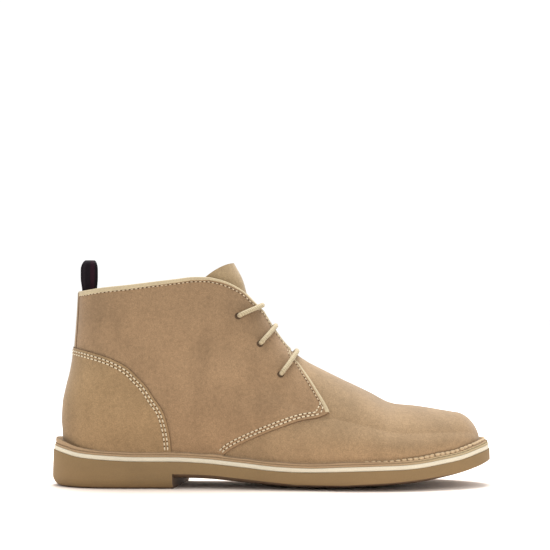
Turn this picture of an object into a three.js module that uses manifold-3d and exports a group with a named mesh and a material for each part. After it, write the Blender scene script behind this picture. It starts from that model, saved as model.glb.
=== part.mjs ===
// Chukka boot for the right foot, men's EU 43, in millimetres.
// +X runs from heel to toe, +Y to the inner (medial) side, +Z up, with the floor at z = 0.
// The boot is modelled with x = 0 at the back of the outsole, and centred at the end.

import * as THREE from 'three';
import { mergeVertices } from 'three/addons/utils/BufferGeometryUtils.js';
import Module from 'manifold-3d';

const wasm = await Module();
wasm.setup();

// Driving sizes of the sole
const SOLE_LENGTH = 300.5;
const BALL_WIDTH = 104;
const HEEL_HEIGHT = 22;          // top of the midsole over the heel seat
const MIDSOLE_THICKNESS = 3;
const WELT_THICKNESS = 1;
const INSOLE_THICKNESS = 3;
const TREAD_CROWN = 4;           // how far the tread's edge lies above its middle
const HEEL_CORNER = 4.5;         // bevel around the foot of the heel
const HEEL_CORNER_HEIGHT = 6.5;
const SIDE_TAPER = 0.8;          // how far the outsole's wall leans in towards its top
const BREAST_AT = 88;            // heel breast on the centre line
const BREAST_SKEW = 0.135;       // its slant, forward on the inner side
const MIDSOLE_INSET = 1.2;       // midsole, welt and lip step in from the outsole's edge
const WELT_INSET = 1.7;
const LIP_INSET = 2.4;
const WELT_WIDTH = 11;

// Driving sizes of the upper
const HEEL_INSET = 6.6;          // wall of the upper, in from the outsole at the back
const TOE_INSET = 7.4;
const THROAT_HEIGHT = 88;        // instep height at the foot of the throat
const COLLAR_HEIGHT = 132;       // back of the collar above the floor
const WALL = 1.8;                // vamp leather with its lining
const QUARTER_STEP = 1.2;        // quarters lie on the vamp
const COUNTER_STEP = 1;          // heel counter lies on the quarters
const LIP_THICKNESS = 1.3;       // edge of the upper turned out over the welt
const LIP_FILLET = 1.6;
const LIP_RISE = 2.2;
const SIDE_BULGE = 0.075;        // swell of the wall above the welt
const ANKLE_NARROWING = 0.07;
const TOE_PUFF_LENGTH = 16;      // length of the rounded front of the toe
const THROAT_GAP = 19;           // between the two facings
const THROAT_END = 166;          // foot of the throat on the instep line

// Driving sizes of tongue, lace and pull loop
const TONGUE_THICKNESS = 2;
const TONGUE_FOOT = 0.655;       // levels of the last that the tongue starts and ends at
const TONGUE_TOP = 0.962;
const TONGUE_SLOPE = 0.066;      // how far its top falls away to the sides
const TONGUE_FOOT_SPREAD = 0.42; // half angles, in radians, that it wraps around the leg
const TONGUE_TOP_SPREAD = 1.15;
const LACE_DIAMETER = 2.8;
const EYELET_DIAMETER = 4.2;
const LACE_CORNER = 2.6;         // where the lace turns into an eyelet
const LACE_SLACK = 0.65;         // between the lace and the leather that it lies on
const LOOP_WIDTH = 10;
const LOOP_SPREAD = 8.2;
const LOOP_THICKNESS = 1.3;
const LOOP_TOP = 21.7;           // above the back of the collar
const LOOP_TAIL = 10;            // sewn in below the collar

// Gap between pieces that touch on the real boot
const SEAT = 0.3;

const LATERAL = -1;
const MEDIAL = 1;

// How finely the forms are divided, and how near points are merged
const MERGE = 0.05;
const TURNS = 60;
const LEVEL_COUNT = 17;

// Outline of the outsole: at is a share of SOLE_LENGTH, the rest are shares of BALL_WIDTH.
// The half widths are those of the full foot, before heel and toe are rounded off.
const OUTLINE = [
  { at: 0.00, centre: 0.000, lateral: 0.317, medial: 0.317 },
  { at: 0.10, centre: 0.000, lateral: 0.323, medial: 0.322 },
  { at: 0.20, centre: 0.000, lateral: 0.332, medial: 0.322 },
  { at: 0.33, centre: 0.000, lateral: 0.337, medial: 0.298 },
  { at: 0.43, centre: 0.000, lateral: 0.375, medial: 0.270 },
  { at: 0.53, centre: 0.005, lateral: 0.437, medial: 0.298 },
  { at: 0.615, centre: 0.010, lateral: 0.490, medial: 0.380 },
  { at: 0.68, centre: 0.014, lateral: 0.521, medial: 0.447 },
  { at: 0.73, centre: 0.019, lateral: 0.529, medial: 0.471 },
  { at: 0.80, centre: 0.024, lateral: 0.505, medial: 0.466 },
  { at: 0.865, centre: 0.027, lateral: 0.468, medial: 0.442 },
  { at: 0.93, centre: 0.030, lateral: 0.440, medial: 0.418 },
  { at: 1.00, centre: 0.032, lateral: 0.415, medial: 0.400 },
];
const HEEL_ROUND = 0.133;        // length of the rounded heel end, as a share of SOLE_LENGTH
const TOE_ROUND = 0.205;

// Side view of the sole: at is a share of SOLE_LENGTH, heights are shares of HEEL_HEIGHT.
// Deck is the top of the midsole, and tread the underside along the middle.
const DECK = [
  { at: 0.00, deck: 1.260 },
  { at: 0.03, deck: 1.175 },
  { at: 0.065, deck: 1.070 },
  { at: 0.115, deck: 1.010 },
  { at: 0.20, deck: 0.957 },
  { at: 0.28, deck: 0.955 },
  { at: 0.34, deck: 0.920 },
  { at: 0.43, deck: 0.808 },
  { at: 0.52, deck: 0.690 },
  { at: 0.585, deck: 0.668 },
  { at: 0.65, deck: 0.708 },
  { at: 0.74, deck: 0.748 },
  { at: 0.79, deck: 0.766 },
  { at: 0.83, deck: 0.808 },
  { at: 0.88, deck: 0.908 },
  { at: 0.925, deck: 1.010 },
  { at: 0.97, deck: 1.175 },
  { at: 1.00, deck: 1.270 },
];
const TREAD = [
  { at: 0.25, tread: 0.275 },
  { at: 0.32, tread: 0.262 },
  { at: 0.365, tread: 0.235 },
  { at: 0.41, tread: 0.177 },
  { at: 0.47, tread: 0.095 },
  { at: 0.53, tread: 0.027 },
  { at: 0.56, tread: 0 },
  { at: 0.65, tread: 0 },
  { at: 0.70, tread: 0.030 },
  { at: 0.76, tread: 0.070 },
  { at: 0.82, tread: 0.145 },
  { at: 0.875, tread: 0.278 },
  { at: 0.925, tread: 0.445 },
  { at: 0.96, tread: 0.610 },
  { at: 1.02, tread: 0.900 },
];
const TREAD_FLAT = 0.45;         // share of the half width that is flat across the ball

// Back seam of the upper: height is a share of COLLAR_HEIGHT, lean a share of SOLE_LENGTH.
const BACK_SEAM = [
  { height: 0.20, lean: 0.0310 },
  { height: 0.29, lean: 0.0290 },
  { height: 0.335, lean: 0.0275 },
  { height: 0.42, lean: 0.0293 },
  { height: 0.50, lean: 0.0363 },
  { height: 0.583, lean: 0.0455 },
  { height: 0.65, lean: 0.0510 },
  { height: 0.75, lean: 0.0553 },
  { height: 0.875, lean: 0.0595 },
  { height: 1.00, lean: 0.0625 },
  { height: 1.25, lean: 0.0680 },
];

// Instep line over toe, vamp and leg: at is a share of SOLE_LENGTH, crest of THROAT_HEIGHT.
const INSTEP = [
  { at: 0.000, crest: 4.340 },
  { at: 0.372, crest: 2.033 },
  { at: 0.400, crest: 1.858 },
  { at: 0.426, crest: 1.695 },
  { at: 0.447, crest: 1.572 },
  { at: 0.465, crest: 1.464 },
  { at: 0.4945, crest: 1.284 },
  { at: 0.519, crest: 1.157 },
  { at: 0.540, crest: 1.064 },
  { at: 0.560, crest: 1.003 },
  { at: 0.583, crest: 0.951 },
  { at: 0.619, crest: 0.888 },
  { at: 0.656, crest: 0.826 },
  { at: 0.692, crest: 0.768 },
  { at: 0.729, crest: 0.707 },
  { at: 0.747, crest: 0.672 },
  { at: 0.765, crest: 0.642 },
  { at: 0.784, crest: 0.625 },
  { at: 0.820, crest: 0.614 },
  { at: 0.857, crest: 0.597 },
  { at: 0.893, crest: 0.576 },
  { at: 0.930, crest: 0.557 },
  { at: 1.000, crest: 0.540 },
];

// Levels of the last, from the welt up: back is a share of COLLAR_HEIGHT above the welt,
// front the place on the instep line as a share of the upper's length from x = 0.
const LEVELS = [
  { back: 0.000, front: 1.0000 },
  { back: 0.035, front: 0.9981 },
  { back: 0.075, front: 0.9924 },
  { back: 0.115, front: 0.9801 },
  { back: 0.160, front: 0.9586 },
  { back: 0.210, front: 0.9247 },
  { back: 0.260, front: 0.8796 },
  { back: 0.310, front: 0.8284 },
  { back: 0.360, front: 0.7792 },
  { back: 0.415, front: 0.7300 },
  { back: 0.470, front: 0.6766 },
  { back: 0.530, front: 0.6233 },
  { back: 0.590, front: 0.5782 },
  { back: 0.660, front: 0.5434 },
  { back: 0.730, front: 0.5126 },
  { back: 0.810, front: 0.4767 },
  { back: 0.890, front: 0.4408 },
  { back: 0.970, front: 0.4080 },
];

// Seams and edges seen from the side: at is a share of SOLE_LENGTH, height of COLLAR_HEIGHT.
const COLLAR_LINE = [
  { at: -0.02, height: 0.990 },
  { at: 0.060, height: 0.999 },
  { at: 0.120, height: 1.020 },
  { at: 0.177, height: 1.034 },
  { at: 0.231, height: 1.049 },
  { at: 0.285, height: 1.064 },
  { at: 0.325, height: 1.074 },
  { at: 0.352, height: 1.073 },
  { at: 0.380, height: 1.061 },
  { at: 0.400, height: 1.045 },
  { at: 0.432, height: 1.003 },
  { at: 0.463, height: 0.931 },
  { at: 0.500, height: 0.845 },
];
const QUARTER_SEAM = [
  { at: 0.380, height: 0.100 },
  { at: 0.395, height: 0.174 },
  { at: 0.416, height: 0.211 },
  { at: 0.447, height: 0.246 },
  { at: 0.487, height: 0.286 },
  { at: 0.523, height: 0.317 },
  { at: 0.566, height: 0.348 },
  { at: 0.605, height: 0.364 },
  { at: 0.6285, height: 0.388 },
  { at: 0.624, height: 0.411 },
  { at: 0.606, height: 0.477 },
  { at: 0.586, height: 0.545 },
  { at: 0.561, height: 0.623 },
  { at: 0.540, height: 0.684 },
  { at: 0.560, height: 0.760 },
];
const COUNTER_SEAM = [
  { at: -0.02, height: 0.718 },
  { at: 0.046, height: 0.713 },
  { at: 0.093, height: 0.692 },
  { at: 0.140, height: 0.659 },
  { at: 0.177, height: 0.614 },
  { at: 0.201, height: 0.562 },
  { at: 0.219, height: 0.519 },
  { at: 0.236, height: 0.461 },
  { at: 0.259, height: 0.381 },
  { at: 0.273, height: 0.245 },
  { at: 0.277, height: 0.100 },
];

// Eyelets seen from the side, and where the lace from each crosses the instep.
const EYELETS = [
  { at: 0.426, height: 0.877, overAt: 0.473, overHeight: 0.922 },
  { at: 0.474, height: 0.738, overAt: 0.502, overHeight: 0.816 },
  { at: 0.5205, height: 0.583, overAt: 0.550, overHeight: 0.674 },
];

// Smooth curve through the rows of a table, without overshoot.
function curveThrough(rows, from, to) {
  const at = rows.map((row) => row[from]);
  const value = rows.map((row) => row[to]);
  const last = rows.length - 1;
  const slope = [];
  for (let i = 0; i < last; i++) slope.push((value[i + 1] - value[i]) / (at[i + 1] - at[i]));
  const tangent = slope.map((s, i) => {
    if (i === 0) return s;
    const before = slope[i - 1];
    return before * s <= 0 ? 0 : 2 * before * s / (before + s);
  });
  tangent.push(slope[last - 1]);
  return (x) => {
    if (x <= at[0]) return value[0] + tangent[0] * (x - at[0]);
    if (x >= at[last]) return value[last] + tangent[last] * (x - at[last]);
    let i = 0;
    while (x > at[i + 1]) i++;
    const width = at[i + 1] - at[i];
    const t = (x - at[i]) / width;
    const rest = 1 - t;
    return value[i] * (1 + 2 * t) * rest * rest + tangent[i] * width * t * rest * rest
      + value[i + 1] * t * t * (3 - 2 * t) - tangent[i + 1] * width * t * t * rest;
  };
}

const centreShare = curveThrough(OUTLINE, 'at', 'centre');
const lateralShare = curveThrough(OUTLINE, 'at', 'lateral');
const medialShare = curveThrough(OUTLINE, 'at', 'medial');
const deckShare = curveThrough(DECK, 'at', 'deck');
const treadShare = curveThrough(TREAD, 'at', 'tread');
const leanShare = curveThrough(BACK_SEAM, 'height', 'lean');
const crestShare = curveThrough(INSTEP, 'at', 'crest');

// Quarter of an ellipse: 0 at the end of a form, 1 from the given length on.
function rounded(distance, length) {
  const share = THREE.MathUtils.clamp(distance / length, 0, 1);
  return Math.sqrt(1 - (1 - share) ** 2);
}

const centreLine = (x) => centreShare(x / SOLE_LENGTH) * BALL_WIDTH;
const deckTop = (x) => deckShare(x / SOLE_LENGTH) * HEEL_HEIGHT;
const deckBottom = (x) => deckTop(x) - MIDSOLE_THICKNESS;
const weltTop = (x) => deckTop(x) + SEAT + WELT_THICKNESS;
const feather = (x) => weltTop(x) + SEAT;
const backSeam = (z) => leanShare(z / COLLAR_HEIGHT) * SOLE_LENGTH;

function fullWidth(x, side) {
  const share = side === LATERAL ? lateralShare : medialShare;
  return share(x / SOLE_LENGTH) * BALL_WIDTH;
}

// Edge of the outsole, or of a layer that is inset from it.
function planEdge(x, side, inset) {
  const heel = rounded(x - inset, HEEL_ROUND * SOLE_LENGTH - inset);
  const toe = rounded(SOLE_LENGTH - inset - x, TOE_ROUND * SOLE_LENGTH - inset);
  return centreLine(x) + side * (fullWidth(x, side) - inset) * heel * toe;
}

// Underside of the forefoot: flat across the middle, rising to its edge.
function tread(x, across) {
  const rise = Math.max(0, (Math.abs(across) - TREAD_FLAT) / (1 - TREAD_FLAT));
  return treadShare(x / SOLE_LENGTH) * HEEL_HEIGHT + TREAD_CROWN * rise * rise;
}

// Height of the last's instep line, with the rounded front of the toe.
const toeFront = SOLE_LENGTH - TOE_INSET;
function instepLine(x) {
  const puff = rounded(toeFront - x, TOE_PUFF_LENGTH);
  return feather(x) + (crestShare(x / SOLE_LENGTH) * THROAT_HEIGHT - feather(x)) * puff;
}

// Half section of the last at a share of its height: a swelling side under a round top.
function sectionShare(height) {
  const swell = 1 + SIDE_BULGE * Math.sin(Math.PI * Math.min(1, 1.9 * height));
  return swell * Math.sqrt(Math.max(0, 1 - height ** 2.4));
}

function lastY(x, z, side) {
  const low = feather(x);
  const height = THREE.MathUtils.clamp((z - low) / Math.max(instepLine(x) - low, 0.01), 0, 1);
  const heel = rounded(x - backSeam(z), HEEL_ROUND * SOLE_LENGTH - HEEL_INSET);
  const toe = rounded(toeFront - x, TOE_ROUND * SOLE_LENGTH - TOE_INSET);
  const leg = THREE.MathUtils.smoothstep(z / COLLAR_HEIGHT, 0.35, 0.8)
    * (1 - THREE.MathUtils.smoothstep(x / SOLE_LENGTH, 0.3, 0.5));
  const half = (fullWidth(x, side) - HEEL_INSET + 1) * (1 - ANKLE_NARROWING * leg);
  return centreLine(x) + side * half * heel * toe * sectionShare(height);
}

const levelShare = LEVELS.map((row, i) => ({ ...row, level: i / (LEVELS.length - 1) }));
const backShare = curveThrough(levelShare, 'level', 'back');
const frontShare = curveThrough(levelShare, 'level', 'front');

// Point on the last: level runs 0 at the welt to 1 above the collar, and turn goes
// around from the back seam over the lateral side to the instep line and back.
function lastPoint(level, turn) {
  const front = frontShare(level) * toeFront;
  const backHeight = backShare(level) * COLLAR_HEIGHT;
  let back = HEEL_INSET;
  for (let pass = 0; pass < 8; pass++) back = backSeam(feather(back) + backHeight);
  const along = (1 - Math.cos(turn)) / 2;
  const x = THREE.MathUtils.lerp(back, front, along);
  const rise = THREE.MathUtils.lerp(backHeight, instepLine(front) - feather(front), along);
  const z = feather(x) + rise;
  const side = Math.sin(turn) >= 0 ? LATERAL : MEDIAL;
  return new THREE.Vector3(x, lastY(x, z, side), z);
}

function lastNormal(level, turn) {
  const step = 0.004;
  const low = Math.max(level - step, 0);
  const up = lastPoint(level + step, turn).sub(lastPoint(low, turn));
  const around = lastPoint(level, turn + step).sub(lastPoint(level, turn - step));
  return around.cross(up).normalize();
}

function lastSurface(level, turn, offset) {
  return lastPoint(level, turn).addScaledVector(lastNormal(level, turn), offset);
}

// Closed solid from rings of points, each counter-clockwise from above, bottom ring first.
function ringSolid(rings) {
  const count = rings[0].length;
  const index = [];
  rings.slice(1).forEach((ring, k) => {
    for (let j = 0; j < count; j++) {
      const a = k * count + j;
      const b = k * count + (j + 1) % count;
      index.push(a, b, b + count, a, b + count, a + count);
    }
  });
  const top = (rings.length - 1) * count;
  for (let j = 0; j < count / 2; j++) {
    const mirror = (count - j) % count;
    const next = j + 1;
    const nextMirror = count - next;
    if (next !== nextMirror) {
      index.push(next, j, nextMirror);
      index.push(top + j, top + next, top + nextMirror);
    }
    if (j !== mirror) {
      index.push(nextMirror, j, mirror);
      index.push(top + j, top + nextMirror, top + mirror);
    }
  }
  const geometry = new THREE.BufferGeometry().setFromPoints(rings.flat());
  geometry.setIndex(index);
  return geometry;
}

// Closed solid between two grids of points: outer faces out, inner faces in.
function sheetSolid(outer, inner) {
  const rows = outer.length;
  const columns = outer[0].length;
  const back = rows * columns;
  const index = [];
  const quad = (a, b, c, d) => index.push(a, b, c, a, c, d);
  for (let i = 0; i < rows - 1; i++) {
    for (let j = 0; j < columns - 1; j++) {
      const a = i * columns + j;
      quad(a, a + 1, a + 1 + columns, a + columns);
      quad(back + a, back + a + columns, back + a + 1 + columns, back + a + 1);
    }
  }
  for (let j = 0; j < columns - 1; j++) {
    const far = (rows - 1) * columns + j;
    quad(back + j, back + j + 1, j + 1, j);
    quad(far, far + 1, back + far + 1, back + far);
  }
  for (let i = 0; i < rows - 1; i++) {
    const near = i * columns;
    const far = near + columns - 1;
    quad(near, near + columns, back + near + columns, back + near);
    quad(back + far, back + far + columns, far + columns, far);
  }
  const geometry = new THREE.BufferGeometry().setFromPoints([...outer.flat(), ...inner.flat()]);
  geometry.setIndex(index);
  return geometry;
}

function toSolid(geometry) {
  const bare = geometry.clone();
  bare.deleteAttribute('normal');
  bare.deleteAttribute('uv');
  const merged = mergeVertices(bare, 1e-4);
  return new wasm.Manifold(new wasm.Mesh({
    numProp: 3,
    vertProperties: merged.attributes.position.array,
    triVerts: new Uint32Array(merged.index.array),
  }));
}

function toGeometry(solid) {
  const mesh = solid.getMesh();
  const geometry = new THREE.BufferGeometry();
  geometry.setAttribute('position', new THREE.BufferAttribute(mesh.vertProperties, 3));
  geometry.setIndex(new THREE.BufferAttribute(mesh.triVerts, 1));
  return geometry;
}

const turns = Array.from({ length: TURNS }, (_, j) => 2 * Math.PI * j / TURNS);

// Ring of points on the sole's outline, inset from it, at a height given along x.
function outlineRing(inset, heightAt) {
  return turns.map((turn) => {
    const along = (1 - Math.cos(turn)) / 2;
    const x = THREE.MathUtils.lerp(inset, SOLE_LENGTH - inset, along);
    const side = Math.sin(turn) >= 0 ? LATERAL : MEDIAL;
    return new THREE.Vector3(x, planEdge(x, side, inset), heightAt(x));
  });
}

// Prism across the whole boot over an outline in the side view.
function sidePrism(points) {
  const reach = BALL_WIDTH;
  const shape = new THREE.Shape(points);
  const geometry = new THREE.ExtrudeGeometry(shape, { depth: 2 * reach, bevelEnabled: false });
  geometry.rotateX(Math.PI / 2);
  geometry.translate(0, reach, 0);
  return toSolid(geometry);
}

const sideView = (row) => new THREE.Vector2(row.at * SOLE_LENGTH, row.height * COLLAR_HEIGHT);

// Outsole: the walls of sole and heel in one block, hollowed out ahead of the heel breast.
function makeOutsole() {
  const block = toSolid(ringSolid([
    outlineRing(HEEL_CORNER, () => 0),
    outlineRing(HEEL_CORNER * 0.3, () => HEEL_CORNER_HEIGHT * 0.4),
    outlineRing(0, () => HEEL_CORNER_HEIGHT),
    outlineRing(SIDE_TAPER, deckBottom),
  ]));
  const stations = 30;
  const acrossShares = [-1.3, -1, -0.8, -0.6, -TREAD_FLAT, TREAD_FLAT, 0.6, 0.8, 1, 1.3];
  const depth = 10;
  const under = [];
  const floor = [];
  for (const across of acrossShares) {
    const start = BREAST_AT + across * BREAST_SKEW * BALL_WIDTH / 3;
    const line = [];
    for (let i = 0; i <= stations; i++) {
      const x = THREE.MathUtils.lerp(start, SOLE_LENGTH + depth, i / stations);
      const side = across < 0 ? LATERAL : MEDIAL;
      const y = centreLine(x) + across * fullWidth(x, side);
      line.push(new THREE.Vector3(x, y, tread(x, across)));
    }
    under.push(line);
    floor.push(line.map((point) => new THREE.Vector3(point.x, point.y, -depth)));
  }
  const hollow = toSolid(sheetSolid(under, floor));
  return toGeometry(block.subtract(hollow).simplify(MERGE));
}

function makeMidsole() {
  return ringSolid([
    outlineRing(MIDSOLE_INSET, (x) => deckBottom(x) + SEAT),
    outlineRing(MIDSOLE_INSET, deckTop),
  ]);
}

// Welt: a strip around the edge, under the lip of the upper.
function makeWelt() {
  const bottom = (x) => deckTop(x) + SEAT;
  const strip = toSolid(ringSolid([
    outlineRing(WELT_INSET, bottom),
    outlineRing(WELT_INSET, weltTop),
  ]));
  const inside = toSolid(ringSolid([
    outlineRing(WELT_INSET + WELT_WIDTH, (x) => bottom(x) - WELT_THICKNESS),
    outlineRing(WELT_INSET + WELT_WIDTH, (x) => weltTop(x) + WELT_THICKNESS),
  ]));
  return toGeometry(strip.subtract(inside));
}

// Insole: fills the foot of the upper, its edge following the inside of the wall.
function makeInsole() {
  const ring = (level, height) => turns.map((turn) => {
    const edge = lastSurface(level, turn, -WALL - 4 * SEAT);
    return edge.setZ(feather(edge.x) + height);
  });
  const topLevel = INSOLE_THICKNESS / (COLLAR_HEIGHT * backShare(1 / LEVEL_COUNT) * LEVEL_COUNT);
  return ringSolid([ring(0, 0), ring(topLevel, INSOLE_THICKNESS)]);
}

// Solid of the last at an offset, closed above the collar. With a lip it spreads over the welt.
function lastForm(offset, withLip) {
  const rings = [];
  const raise = (ring, height) => ring.map((point) => point.clone().setZ(point.z + height));
  const levelRing = (level) => turns.map((turn) => lastSurface(level, turn, offset));
  const foot = levelRing(0);
  if (withLip) {
    rings.push(outlineRing(LIP_INSET, feather));
    rings.push(outlineRing(LIP_INSET, (x) => feather(x) + LIP_THICKNESS));
    const filletInset = TOE_INSET - LIP_FILLET - offset;
    rings.push(outlineRing(filletInset, (x) => feather(x) + LIP_THICKNESS + LIP_RISE / 3));
  } else {
    rings.push(raise(foot, -LIP_RISE));
    rings.push(foot);
  }
  for (let k = 1; k <= LEVEL_COUNT; k++) rings.push(levelRing(k / LEVEL_COUNT));
  if (!withLip) rings.push(raise(rings.at(-1), COLLAR_HEIGHT / 4));
  return toSolid(ringSolid(rings));
}

// Place of an eyelet on the last: level and turn of a point seen from the side.
function locate(target, side) {
  let level = 0.8;
  let along = 0.9;
  const turnOf = (share) => (side === LATERAL ? 1 : -1) * Math.acos(1 - 2 * share);
  const miss = (l, a) => {
    const point = lastPoint(l, turnOf(a));
    return new THREE.Vector2(point.x - target.x, point.z - target.y);
  };
  for (let pass = 0; pass < 30; pass++) {
    const step = 1e-4;
    const here = miss(level, along);
    const byLevel = miss(level + step, along).sub(here).divideScalar(step);
    const byAlong = miss(level, along - step).sub(here).divideScalar(-step);
    const area = byLevel.x * byAlong.y - byLevel.y * byAlong.x;
    level -= (here.x * byAlong.y - here.y * byAlong.x) / area;
    along -= (byLevel.x * here.y - byLevel.y * here.x) / area;
    along = THREE.MathUtils.clamp(along, 0.02, 0.9999);
    level = THREE.MathUtils.clamp(level, 0.02, 1);
  }
  return { level, turn: turnOf(along) };
}

function makeUpper() {
  const cavity = lastForm(-WALL, false);
  const quarterSide = QUARTER_SEAM.map(sideView);
  const roof = 2 * COLLAR_HEIGHT;
  const quarters = lastForm(QUARTER_STEP, true).intersect(sidePrism([
    new THREE.Vector2(-HEEL_HEIGHT, 0),
    new THREE.Vector2(quarterSide[0].x, 0),
    ...quarterSide,
    new THREE.Vector2(quarterSide.at(-1).x, roof),
    new THREE.Vector2(-HEEL_HEIGHT, roof),
  ]));
  const counter = lastForm(QUARTER_STEP + COUNTER_STEP, true).intersect(sidePrism([
    new THREE.Vector2(-HEEL_HEIGHT, 0),
    new THREE.Vector2(COUNTER_SEAM.at(-1).at * SOLE_LENGTH, 0),
    ...COUNTER_SEAM.map(sideView).reverse(),
  ]));
  const collarSide = COLLAR_LINE.map(sideView);
  const aboveCollar = sidePrism([
    new THREE.Vector2(collarSide[0].x - HEEL_HEIGHT, collarSide[0].y),
    ...collarSide,
    new THREE.Vector2(SOLE_LENGTH, collarSide.at(-1).y),
    new THREE.Vector2(SOLE_LENGTH, roof),
    new THREE.Vector2(collarSide[0].x - HEEL_HEIGHT, roof),
  ]);
  const throat = new THREE.Shape();
  const start = BREAST_AT;
  throat.moveTo(start, -THROAT_GAP / 2);
  throat.lineTo(THROAT_END - THROAT_GAP / 2, -THROAT_GAP / 2);
  throat.absarc(THROAT_END - THROAT_GAP / 2, 0, THROAT_GAP / 2, -Math.PI / 2, Math.PI / 2);
  throat.lineTo(start, THROAT_GAP / 2);
  const slot = new THREE.ExtrudeGeometry(throat, { depth: roof, bevelEnabled: false, curveSegments: 8 });
  slot.translate(0, 0, THROAT_HEIGHT / 2);
  let upper = lastForm(0, true).add(quarters).add(counter);
  upper = upper.subtract(cavity).subtract(aboveCollar).subtract(toSolid(slot));
  for (const eyelet of EYELETS) {
    for (const side of [LATERAL, MEDIAL]) upper = upper.subtract(eyeletHole(eyelet, side));
  }
  return toGeometry(upper.simplify(MERGE));
}

function eyeletHole(eyelet, side) {
  const place = locate(sideView(eyelet), side);
  const depth = 6 * (WALL + QUARTER_STEP);
  const hole = new THREE.CylinderGeometry(EYELET_DIAMETER / 2, EYELET_DIAMETER / 2, depth, 12);
  const up = new THREE.Vector3(0, 1, 0);
  const normal = lastNormal(place.level, place.turn);
  hole.applyQuaternion(new THREE.Quaternion().setFromUnitVectors(up, normal));
  const middle = lastPoint(place.level, place.turn);
  hole.translate(middle.x, middle.y, middle.z);
  return toSolid(hole);
}

// Tongue: the vamp's leather carried on under the throat and up past the collar.
const underLace = WALL + 2 * LACE_SLACK + LACE_DIAMETER;
function tongueDepth(level) {
  const free = THREE.MathUtils.smoothstep(level, 0.875, 0.935);
  const dip = THREE.MathUtils.smoothstep(level, 0.655, 0.72);
  const shallow = WALL + SEAT;
  return THREE.MathUtils.lerp(shallow, underLace, dip * (1 - free));
}

function makeTongue() {
  const rows = 16;
  const columns = 14;
  const outer = [];
  const inner = [];
  for (let i = 0; i <= rows; i++) {
    outer.push([]);
    inner.push([]);
    for (let j = 0; j <= columns; j++) {
      const across = 2 * j / columns - 1;
      const top = TONGUE_TOP - TONGUE_SLOPE * Math.abs(across) ** 3;
      const level = THREE.MathUtils.lerp(TONGUE_FOOT, top, i / rows);
      const spread = THREE.MathUtils.lerp(TONGUE_FOOT_SPREAD, TONGUE_TOP_SPREAD, i / rows);
      const turn = Math.PI + across * spread;
      const depth = tongueDepth(level);
      outer[i].push(lastSurface(level, turn, -depth));
      inner[i].push(lastSurface(level, turn, -depth - TONGUE_THICKNESS));
    }
  }
  return sheetSolid(outer, inner);
}

// Lace: three bars over the throat, joined by runs that are hidden under the facings.
class LaceRun extends THREE.Curve {
  constructor(points) {
    super();
    this.points = points;
  }

  getPoint(share, target = new THREE.Vector3()) {
    const place = share * (this.points.length - 1);
    const i = Math.min(Math.floor(place), this.points.length - 2);
    return target.lerpVectors(this.points[i], this.points[i + 1], place - i);
  }

  getPointAt(share, target) {
    return this.getPoint(share, target);
  }

  getTangentAt(share, target) {
    return this.getTangent(share, target);
  }
}

// Cuts each corner of a line of points with a curve that starts a set distance from it.
function roundCorners(points, distance) {
  const soft = [points[0]];
  for (let i = 1; i < points.length - 1; i++) {
    const [before, corner, after] = points.slice(i - 1, i + 2);
    const reach = Math.min(distance, before.distanceTo(corner) / 2, corner.distanceTo(after) / 2);
    const from = corner.clone().add(before.clone().sub(corner).setLength(reach));
    const to = corner.clone().add(after.clone().sub(corner).setLength(reach));
    const bend = corner.clone().sub(before).angleTo(after.clone().sub(corner));
    const steps = bend > 0.6 ? 4 : 1;
    soft.push(...new THREE.QuadraticBezierCurve3(from, corner, to).getPoints(steps));
  }
  soft.push(points.at(-1));
  return soft;
}

const laceOver = QUARTER_STEP + LACE_SLACK + LACE_DIAMETER / 2;
const laceUnder = -(WALL + LACE_SLACK + LACE_DIAMETER / 2);

// Run over the surface between two points seen from the side, at an offset from the last.
function surfaceRun(from, to, side, offset, shares) {
  return shares.map((share) => {
    const spot = locate(from.clone().lerp(to, share), side);
    return lastSurface(spot.level, spot.turn, offset);
  });
}

function makeLace() {
  const hole = EYELETS.map(sideView);
  const crest = EYELETS.map((row) => new THREE.Vector2(row.overAt * SOLE_LENGTH, row.overHeight * COLLAR_HEIGHT));
  // The upper bars run straight across the open throat, and the lowest lies on its foot.
  const tautShares = [0, 0.25, 0.5, 0.7, 0.85, 0.94];
  const restingShares = [...tautShares, 0.995];
  const bar = (i) => {
    const resting = i === EYELETS.length - 1;
    const shares = resting ? restingShares : tautShares;
    const lift = resting ? laceOver + SEAT : laceOver;
    return [
      ...surfaceRun(hole[i], crest[i], MEDIAL, lift, shares),
      ...surfaceRun(hole[i], crest[i], LATERAL, lift, shares).reverse(),
    ];
  };
  const underShares = [0, 0.33, 0.67, 1];
  const climb = (low, high, side) => surfaceRun(hole[low], hole[high], side, laceUnder, underShares);
  // The spare end lies nearer to the crest, beside the run from the second to the first pair.
  const spare = (i) => hole[i].clone().lerp(crest[i], 0.42);
  const hiddenEnd = surfaceRun(spare(0), spare(2), MEDIAL, laceUnder, [0, 0.33, 0.67, 0.9]);
  const tail = surfaceRun(hole[0], spare(0), LATERAL, laceUnder, [0, 0.6]);
  const points = [
    ...hiddenEnd, ...surfaceRun(hole[2], hole[2], MEDIAL, laceUnder, [0]),
    ...bar(2), ...climb(2, 1, LATERAL),
    ...bar(1).reverse(), ...climb(1, 0, MEDIAL),
    ...bar(0), ...tail,
  ];
  const section = new THREE.Shape().absarc(0, 0, LACE_DIAMETER / 2, 0, 2 * Math.PI);
  const path = new LaceRun(roundCorners(points, LACE_CORNER));
  return new THREE.ExtrudeGeometry(section, {
    steps: path.points.length - 1, extrudePath: path, curveSegments: 4, bevelEnabled: false,
  });
}

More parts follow.
